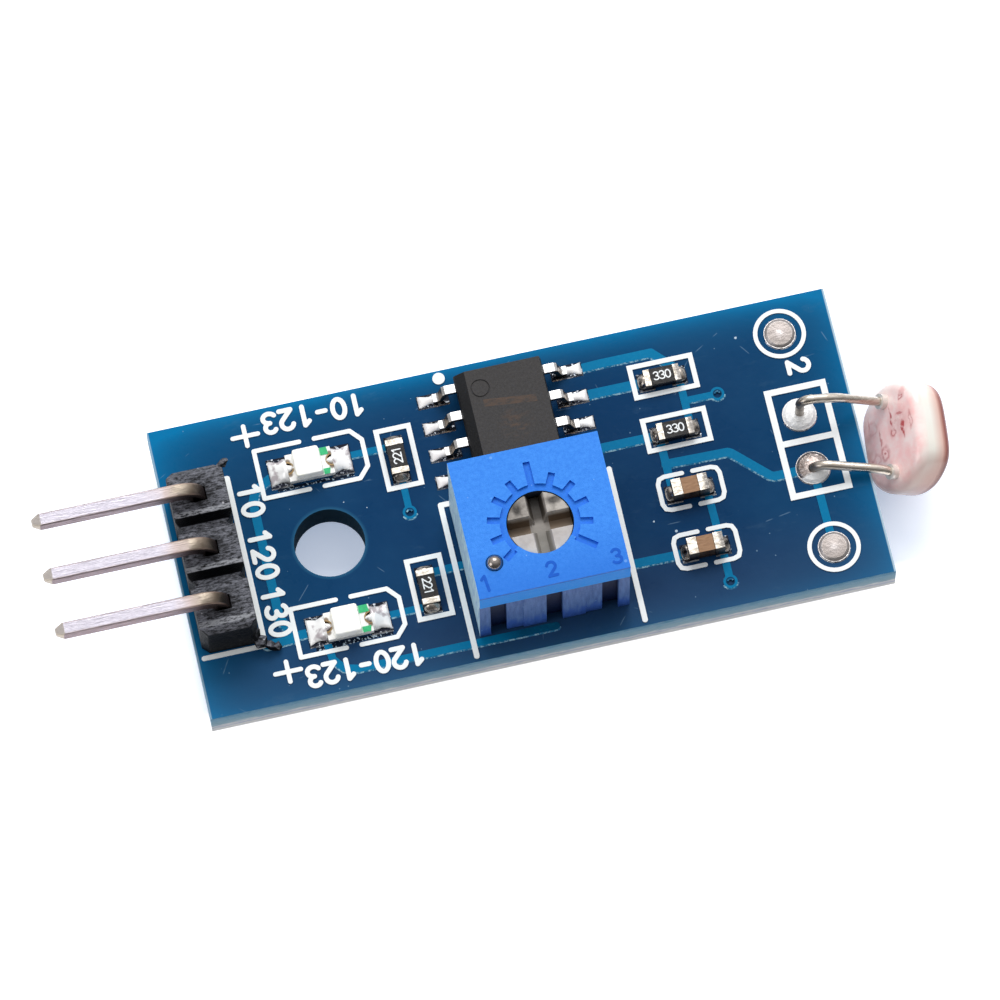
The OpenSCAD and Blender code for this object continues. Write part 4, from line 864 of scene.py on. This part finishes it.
# Nodes whose finish differs from the rest of their slot; the lamps' end notches are browned plating
notch_plating = two_tone("notch plating", (96, 74, 50), (176, 148, 104), 6.0, 0.01,
                         Metallic=0.7, Roughness=0.35)
own_finishes = {
    "chip_solder": part_solder_finish(),
    # White and barely metallic at the toes, as painted highlight.
    "comparator_solder": tin_finish("toe solder", WHITE, (236, 232, 232), 0.3, scale=3.0,
                                    bump=0.006, metal=0.25),
    "sensor_solder": sensor_solder_finish(),
    "spare_solder": spare_solder_finish(),
    "sensor_collars": two_tone("lead collar", (214, 204, 196), (252, 246, 240), 5.0, 0.01,
                               Roughness=0.25, Metallic=0.3),
    "lamp_1_ends": notch_plating,
    "lamp_2_ends": notch_plating,
}

for entry in frame["record"]["subparts"]:
    name = entry["node"]
    mesh = nodes[name].data
    mesh.materials.clear()
    mesh.materials.append(own_finishes.get(name) or finishes[entry["material_slot"]])


def soften(name, width):
    """Joins a node's split vertices and rounds its sharp edges."""
    piece = nodes[name]
    weld = piece.modifiers.new("weld", "WELD")
    weld.merge_threshold = 0.002 * MM
    bevel = piece.modifiers.new("rounded edges", "BEVEL")
    bevel.width = width * MM
    bevel.segments = 2
    bevel.angle_limit = math.radians(30)
    bevel.harden_normals = True


# Rounding of the CAD nodes' edges, by the name without its number
edge_radii = {"trimmer_case": 0.05, "header_strip": 0.06, "comparator_body": 0.05, "trimmer_rotor": 0.06,
              "top_tracks": 0.02, "print_marks": 0.012, "header_pin_": 0.07, "comparator_lead_": 0.035,
              "capacitor__ends": 0.1, "lamp__lens": 0.09, "resistor__ends": 0.07}
for name in nodes:
    radius = edge_radii.get("".join(letter for letter in name if not letter.isdigit()))
    if radius:
        soften(name, radius)


# Pieces that the frame does not hold

def make_piece(name, bm, material, smooth=False):
    """Turns a mesh drawn in millimetres into a piece that rides on the module."""
    bmesh.ops.recalc_face_normals(bm, faces=bm.faces)
    bmesh.ops.scale(bm, vec=(MM, MM, MM), verts=bm.verts)
    mesh = bpy.data.meshes.new(name)
    bm.to_mesh(mesh)
    bm.free()
    for polygon in mesh.polygons:
        polygon.use_smooth = smooth
    mesh.materials.append(material)
    piece = bpy.data.objects.new(name, mesh)
    bpy.context.scene.collection.objects.link(piece)
    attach(piece, "module")
    return piece


def loft(bm, rings, closed=False):
    """Skins a row of rings that have the same number of points, and caps its two ends."""
    rows = [[bm.verts.new(p) for p in ring] for ring in rings]
    pairs = list(zip(rows, rows[1:])) + ([(rows[-1], rows[0])] if closed else [])
    for a, b in pairs:
        for i in range(len(a)):
            j = (i + 1) % len(a)
            bm.faces.new((a[i], a[j], b[j], b[i]))
    if not closed:
        bm.faces.new(rows[0])
        bm.faces.new(rows[-1][::-1])


def prism(bm, outline, low, high):
    """An upright block over an outline, between two heights."""
    loft(bm, [[(x, y, z) for x, y in outline] for z in (low, high)])


def edge_glints(name, source, material, width):
    """A narrow slope down each side wall of a flat CAD piece, where the wall faces the front."""
    bm = bmesh.new()
    mesh = nodes[source].data
    for polygon in mesh.polygons:
        wall = polygon.normal
        if abs(wall.z) > 0.1 or wall.y > -0.35:
            continue
        points = [mesh.vertices[i].co / MM for i in polygon.vertices]
        middle = sum(p.z for p in points) / len(points)
        top = [p for p in points if p.z > middle]
        foot = min(p.z for p in points)
        if len(top) != 2 or (top[0] - top[1]).length < 0.01:
            continue
        loft(bm, [[p, (p.x, p.y, foot), (p.x + wall.x * width, p.y + wall.y * width, foot)] for p in top])
    return make_piece(name, bm, material)


# Figures as strokes, in a box 1 high

FIGURE_W = 0.62


def arc(x, y, rx, ry, start, end, steps=14):
    """Points on an ellipse from one angle to another, in degrees."""
    turns = [math.radians(start + (end - start) * i / steps) for i in range(steps + 1)]
    return [Vector((x + rx * math.cos(a), y + ry * math.sin(a))) for a in turns]


def path(*points):
    """The points of a straight stroke."""
    return [Vector(p) for p in points]


FIGURES = {
    "0": [arc(FIGURE_W / 2, 0.5, 0.3, 0.5, 0, 360, 28)],
    "1": [path((0.1, 0.8), (0.34, 1.0)), path((0.34, 1.0), (0.34, 0.0))],
    "2": [arc(FIGURE_W / 2, 0.7, 0.3, 0.3, 165, -35), path((0.556, 0.528), (0.04, 0.0)),
          path((0.04, 0.0), (FIGURE_W, 0.0))],
    "3": [arc(0.29, 0.75, 0.27, 0.25, 150, -90), arc(0.29, 0.25, 0.31, 0.25, 90, -150)],
    "-": [path((0.1, 0.45), (0.5, 0.45))],
}


def figures(text, place, height, turn, advance):
    """The strokes of a row of figures centred on a place; turn is in degrees, the rest in millimetres."""
    spin = Matrix.Rotation(math.radians(turn), 2)
    start = Vector((-((len(text) - 1) * advance + FIGURE_W * height) / 2, -height / 2))
    strokes = []
    for i, figure in enumerate(text):
        corner = start + Vector((i * advance, 0))
        for stroke in FIGURES[figure]:
            strokes.append([Vector(place) + spin @ (corner + p * height) for p in stroke])
    return strokes


def ink(bm, points, width, base, height):
    """A flat closed stroke along the points, with round ends, from base up to base + height."""
    half = width / 2
    closed = (points[0] - points[-1]).length < 0.001
    if closed:
        points = points[:-1]
    else:
        first, last = (points[0] - points[1]).normalized(), (points[-1] - points[-2]).normalized()
        caps = [math.radians(a) for a in (10, 40, 65)]
        points = ([points[0] + first * half * math.cos(a) for a in caps] + points
                  + [points[-1] + last * half * math.cos(a) for a in caps[::-1]])
    widths = [half] * len(points)
    if not closed:
        for i, a in enumerate(caps):
            widths[i] = widths[-1 - i] = half * math.sin(a)
    rings = []
    for i, p in enumerate(points):
        before = points[i - 1] if i or closed else p
        after = points[(i + 1) % len(points)] if i < len(points) - 1 or closed else p
        way = (after - before).normalized()
        side = Vector((-way.y, way.x)) * widths[i]
        top = base + height
        corners = ((p - side, base), (p + side, base), (p + side, top), (p - side, top))
        rings.append([(q.x, q.y, z) for q, z in corners])
    loft(bm, rings, closed)


def write(name, rows, base, weight, height, material):
    """One piece that holds rows of figures: text, place, size, turn and advance."""
    step = 0.003                    # strokes that cross differ in height, so that no tops share a plane
    bm = bmesh.new()
    for row in rows:
        for i, stroke in enumerate(figures(*row)):
            ink(bm, stroke, weight, base, height + step * (i % 3))
    return make_piece(name, bm, material)


def board_numbers():
    """Plain numbers beside the header, the lamps and the light sensor."""
    column = strip_high.x + 1.0
    high = 0.88
    rows = [("10", (column, 2.66), high, -90, 0.85), ("120", (column, 0.09), high, -90, 0.8),
            ("130", (column, -2.6), high, -90, 0.8), ("10-123", (0.55, 5.98), high, 180, 0.77),
            ("120-123", (0.3, -5.84), high, 180, 0.75), ("2", (21.7, 3.45), 0.9, -90, 1.0)]
    write("board_numbers", rows, board_high.z, 0.21, 0.045, finishes["print"])


def resistor_numbers():
    """Plain numbers on the tops of the four resistors."""
    rows = []
    for i, (text, turn) in enumerate((("330", 0), ("330", 0), ("221", 90), ("221", -90))):
        low, high = box_mm(f"resistor_{i + 1}")
        rows.append((text, ((low + high) / 2)[:2], 0.36, turn, 0.26))
    write("resistor_numbers", rows, box_mm("resistor_1")[1].z, 0.055, 0.012, finishes["print"])


def dial_numbers():
    """The numbers of the trimmer's three legs, pressed into its top: flat strokes whose darker blue is
    painted shade.
    """
    # Darker blue as the painted shade of engraving.
    dark = two_tone("dial number", (8, 80, 186), (18, 100, 212), 6.0, 0.01,
                    Roughness=0.5, Specular_IOR_Level=0.15)
    mid = (case_low.x + case_high.x) / 2
    rows = [("1", (mid - 2.86, -5.13), 0.68, 6, 0.5), ("2", (mid, -5.1), 0.62, 2, 0.5),
            ("3", (mid + 2.83, -5.15), 0.62, 2, 0.5)]
    write("dial_numbers", rows, case_high.z - 0.004, 0.13, 0.012, dark)


def lamp_marks():
    """Two small green marks beside each lamp's lens, on the end that faces its resistor."""
    green = two_tone("lamp mark", (30, 168, 104), (60, 206, 136), 6.0, 0.006,
                     Roughness=0.4, Specular_IOR_Level=0.3)
    bm = bmesh.new()
    top = box_mm("lamp_1_carrier")[1].z
    lens_reach = box_mm("lamp_1_lens")[1].x - lamp_mids[0].x
    for mid, reach in zip(lamp_mids, (0.84, 0.93)):
        lens = mid.x + lens_reach
        end = mid.x + reach
        for y0, y1, slant in ((mid.y + 0.28, mid.y + 0.62, -0.04), (mid.y - 0.62, mid.y - 0.36, 0.06)):
            prism(bm, [(lens, y0), (end - slant, y0), (end, y1), (lens, y1)], top - 0.01, top + 0.03)
    make_piece("lamp_marks", bm, green)


def via_plugs():
    """Mask that closes the three vias."""
    bm = bmesh.new()
    for via in vias:
        outline = arc(*via, VIA_PLUG_R, VIA_PLUG_R, 0, 345, 23)
        prism(bm, outline, board_high.z - 0.2, board_high.z - 0.08)
    make_piece("via_plugs", bm, finishes["board"])


# Solder from a part's end out over its pad, as shares of its reach, of its width and of its height
FLARE = [(-0.34, 0.04, 0.9), (-0.26, 0.13, 0.95), (0.0, 0.2, 1.0), (0.01, 0.46, 0.95), (0.2, 0.43, 0.78),
         (0.45, 0.39, 0.5), (0.7, 0.42, 0.3), (0.9, 0.455, 0.14), (1.0, 0.47, 0.03)]
DOME = [(-0.1, 0.47, 1.0), (0.0, 0.48, 1.0), (0.25, 0.49, 0.9), (0.5, 0.47, 0.72), (0.72, 0.42, 0.5),
        (0.88, 0.33, 0.28), (0.96, 0.22, 0.13), (1.0, 0.1, 0.03)]
TOE = [(-0.3, 0.36, 0.9), (0.0, 0.38, 0.85), (0.2, 0.31, 0.62), (0.45, 0.36, 0.4), (0.75, 0.45, 0.22),
       (1.0, 0.5, 0.05)]

# Half of a fillet's section, from its foot to its crown: shares of the half width and of the height
SECTION = [(1, 0), (0.92, 0.45), (0.65, 0.8), (0.25, 1)]


def solder_skin(bm, profile, foot, turn, reach, width, height, uneven):
    """Lofts a fillet that leaves a part's end at foot, turned to a number of degrees from +X."""
    spin = Matrix.Rotation(math.radians(turn), 3, "Z")
    section = [(-side, up) for side, up in SECTION] + SECTION[::-1]
    rings = []
    for out, half, rise in profile:
        ring = []
        for side, up in section:
            shake = 1 + random.uniform(-uneven, uneven)
            local = Vector((out * reach, side * half * width * shake, up * rise * height * shake))
            ring.append(Vector(foot) + spin @ local)
        rings.append(ring)
    loft(bm, rings)


def part_solder():
    """Fillets at the ends of the chip parts: domes at most of them, drawn-out flares at the lamps."""
    random.seed(9)
    bm = bmesh.new()
    chips = [f"resistor_{i}_ends" for i in (1, 2, 3, 4)] + ["capacitor_1_ends", "capacitor_2_ends"]
    parts = [(name, DOME, 0.3, 0.76, 0.34) for name in chips]
    parts += [(f"lamp_{i}_carrier", FLARE, 0.81, 1.29, 0.36) for i in (1, 2)]
    for name, profile, reach, width, height in parts:
        low, high = box_mm(name)
        mid = (low + high) / 2
        lies_along_y = high.y - low.y > high.x - low.x
        half = max(high.x - low.x, high.y - low.y) / 2
        for turn in (90, 270) if lies_along_y else (0, 180):
            way = Vector((math.cos(math.radians(turn)), math.sin(math.radians(turn)), 0))
            foot = Vector((mid.x, mid.y, low.z)) + way * half
            solder_skin(bm, profile, foot, turn, reach, width, height, 0.06)
    piece = make_piece("part_solder", bm, own_finishes["chip_solder"], smooth=True)
    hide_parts("chip_solder")


def toe_solder():
    """The comparator's joints, which widen from each lead's toe to the end of its pad."""
    random.seed(5)
    bm = bmesh.new()
    for i in range(1, 9):
        low, high = box_mm(f"comparator_lead_{i}")
        left = high.x < chip_high.x
        foot = (low.x if left else high.x, (low.y + high.y) / 2, low.z)
        solder_skin(bm, TOE, foot, 180 if left else 0, 0.64, 0.56, 0.22, 0.04)
    piece = make_piece("toe_solder", bm, own_finishes["comparator_solder"], smooth=True)
    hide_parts("comparator_solder")


def burr(bm, points, radii):
    """A torn thread of plastic through the points, uneven all round."""
    sides = 9
    rings = []
    for i, (p, r) in enumerate(zip(points, radii)):
        way = (Vector(points[min(i + 1, len(points) - 1)]) - Vector(points[max(i - 1, 0)])).normalized()
        turn = way.to_track_quat("Z", "Y")
        ring = []
        for k in range(sides):
            a = 2 * math.pi * k / sides
            ragged = r * random.uniform(0.6, 1.3)
            ring.append(Vector(p) + turn @ Vector((ragged * math.cos(a), ragged * math.sin(a), 0)))
        rings.append(ring)
    loft(bm, rings)


def strip_burrs():
    """Ragged black threads where the strip was broken off a longer one."""
    random.seed(4)
    bm = bmesh.new()
    z = strip_high.z
    burr(bm, [(-4.35, 3.52, z - 0.3), (-4.15, 3.6, z - 0.2), (-4.02, 3.68, z - 0.12),
              (-3.86, 3.72, z - 0.05), (-3.72, 3.8, z - 0.03), (-3.6, 3.84, z - 0.02)],
         (0.13, 0.16, 0.1, 0.17, 0.13, 0.06))
    burr(bm, [(-4.3, -3.5, 2.9), (-4.12, -3.62, 2.5), (-4.0, -3.74, 2.2), (-3.86, -3.92, 2.0),
              (-3.66, -4.05, 1.95), (-3.5, -4.12, 1.9), (-3.32, -4.2, 1.85), (-3.14, -4.25, 1.8),
              (-3.02, -4.22, 1.82)], (0.17, 0.27, 0.2, 0.31, 0.2, 0.27, 0.15, 0.22, 0.08))
    make_piece("strip_burrs", bm, finishes["strip"])


def sensor_coat():
    """The dipped disc: round with two soft flats, rounded at both faces, slightly crowned on its back."""
    steps = 80
    soft = 14                       # how sharply a flat meets the round; higher is sharper
    crown = 0.05                    # how far the middle of the back stands out
    swell = 0.02                    # how far the dipped skin wanders

    def outline(a):
        reach = DISC_FLAT / max(abs(math.sin(a)), 0.001)
        return (DISC_R ** -soft + reach ** -soft) ** (-1 / soft)

    profile = [(DISC_R * s, -crown * (1 - s * s)) for s in (0.98, 0.8, 0.6, 0.42)]
    bends = [math.radians(90 * i / 8) for i in range(9)]
    profile += [(BACK_ROUND * (1 - math.sin(b)), BACK_ROUND * (1 - math.cos(b))) for b in bends]
    profile += [(FACE_ROUND * (1 - math.cos(b)), DISC_T - FACE_ROUND * (1 - math.sin(b))) for b in bends]
    profile += [(DISC_R * s, DISC_T) for s in (0.5, 0.8, 0.98)]
    rings = []
    for inset, depth in profile:
        ring = []
        for i in range(steps):
            a = 2 * math.pi * i / steps
            r = max(outline(a) * (1 - inset / DISC_R), 0.001)
            wave = swell * noise.noise(Vector((r * math.cos(a), r * math.sin(a), depth)) * 0.9)
            local = Vector((depth - DISC_T / 2, (r + wave) * math.cos(a), (r + wave) * math.sin(a)))
            ring.append(disc_mid + disc_turn @ local)
        rings.append(ring)
    bm = bmesh.new()
    loft(bm, rings)
    piece = make_piece("sensor_coat", bm, finishes["sensor_coat"], smooth=True)
    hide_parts("sensor_disc")


# Bright metal strips along the pads' front edges, as painted highlight.
pad_glint = tin_finish("pad edge", WHITE, (120, 124, 132), 0.2, scale=6.0)
edge_glints("track_glints", "top_tracks", glint_finish(), 0.065)
edge_glints("pad_glints", "top_pads", pad_glint, 0.045)
board_numbers()
resistor_numbers()
dial_numbers()
lamp_marks()
via_plugs()
strip_burrs()
part_solder()
toe_solder()
sensor_coat()


# Floor, world, lamps and camera

def floor():
    """A white floor whose own glow fades out and turns blue below the module as a painted shadow, and
    lets its own shadow stay.
    """
    bpy.ops.mesh.primitive_plane_add(size=1.5, location=(0, 0, cad_box[0].z - 0.02 * MM))
    plane = bpy.context.object
    plane.name = "floor"
    material = bpy.data.materials.new("pale floor")
    material.use_nodes = True
    t = Tree(material.node_tree)
    t.tree.nodes.clear()
    rays = t.add("ShaderNodeLightPath").outputs
    seen = t.most(t.most(rays["Is Camera Ray"], rays["Is Glossy Ray"]), rays["Is Transmission Ray"])
    x, y = t.axes(t.millimetres())[:2]
    # Each side's reach shapes the painted shadow round the module; in front the glow is full and white,
    # so no shadow shows.
    left = t.range(t.minus(board_low.x + 0.5, x), 0.0, 0.9)
    right = t.range(t.minus(x, board_high.x), 0.0, 4.0)
    back = t.range(t.minus(y, board_high.y), 0.0, 1.0)
    front = t.range(t.minus(board_low.y + 1.4, y), 0.0, 0.9)
    under = t.product(*(t.minus(1.0, past) for past in (left, right, back, front)))
    glow_and_painted_shadow = t.mix(under, (0.67, 0.72, 0.82, 1), (0.33, 0.39, 0.5, 1))
    glow_and_painted_shadow = t.mix(front, glow_and_painted_shadow, (1, 1, 1, 1))
    paper = t.add("ShaderNodeBsdfDiffuse", {"Color": (0.8, 0.8, 0.81, 1)}).outputs[0]
    glow = t.add("ShaderNodeEmission", {"Color": glow_and_painted_shadow, "Strength": seen}).outputs[0]
    both = t.add("ShaderNodeAddShader", {0: paper, 1: glow}).outputs[0]
    t.add("ShaderNodeOutputMaterial", {"Surface": both})
    plane.data.materials.append(material)


def world():
    """Soft light that is strongest above and behind, weak from the viewer's side; white to the camera."""
    sky = bpy.data.worlds.new("studio")
    bpy.context.scene.world = sky
    sky.use_nodes = True
    t = Tree(sky.node_tree)
    t.tree.nodes.clear()
    way = t.add("ShaderNodeTexCoord").outputs["Generated"]
    brightest = Vector((0.2, 0.62, 0.75)).normalized()
    toward = t.vectors("DOT_PRODUCT", way, brightest)["Value"]
    soft = t.ramp(t.range(toward, -1.0, 1.0),
                  (0.0, 0.1), (0.5, 0.16), (0.72, 0.4), (0.86, 0.95), (1.0, 1.0))
    rays = t.add("ShaderNodeLightPath").outputs
    colour = t.mix(rays["Is Camera Ray"], soft, (1, 1, 1, 1))
    back = t.add("ShaderNodeBackground", {"Color": colour, "Strength": 1.0})
    t.add("ShaderNodeOutputWorld", {"Surface": back.outputs[0]})


def lamp(name, place, size, power):
    """A soft rectangular lamp, in metres and watts, that shines on the middle of the module."""
    light = bpy.data.lights.new(name, "AREA")
    light.shape = "RECTANGLE"
    light.size, light.size_y = size
    light.energy = power
    piece = bpy.data.objects.new(name, light)
    piece.location = place
    target = Vector((0.008, 0, 0))
    piece.rotation_euler = (Vector(place) - target).to_track_quat("Z", "Y").to_euler()
    bpy.context.scene.collection.objects.link(piece)


def camera():
    """The photograph's view: nearly from above, with the board turned a little and seen from far."""
    lens = bpy.data.cameras.new("camera")
    lens.sensor_width = 36
    lens.lens = 282.67
    lens.shift_x = -0.0107
    lens.shift_y = -0.0044
    lens.clip_start = 0.01
    lens.clip_end = 10
    piece = bpy.data.objects.new("camera", lens)
    piece.location = (-0.01537, -0.11539, 0.32121)
    piece.rotation_euler = [math.radians(a) for a in (20.278, 0.475, -12.758)]
    bpy.context.scene.collection.objects.link(piece)
    bpy.context.scene.camera = piece


floor()
world()
lamp("back softbox", (0.08, 0.26, 0.3), (0.26, 0.2), 0.85)
lamp("side fill", (-0.3, -0.05, 0.2), (0.2, 0.2), 0.32)
camera()
bpy.context.scene.view_settings.view_transform = "Standard"
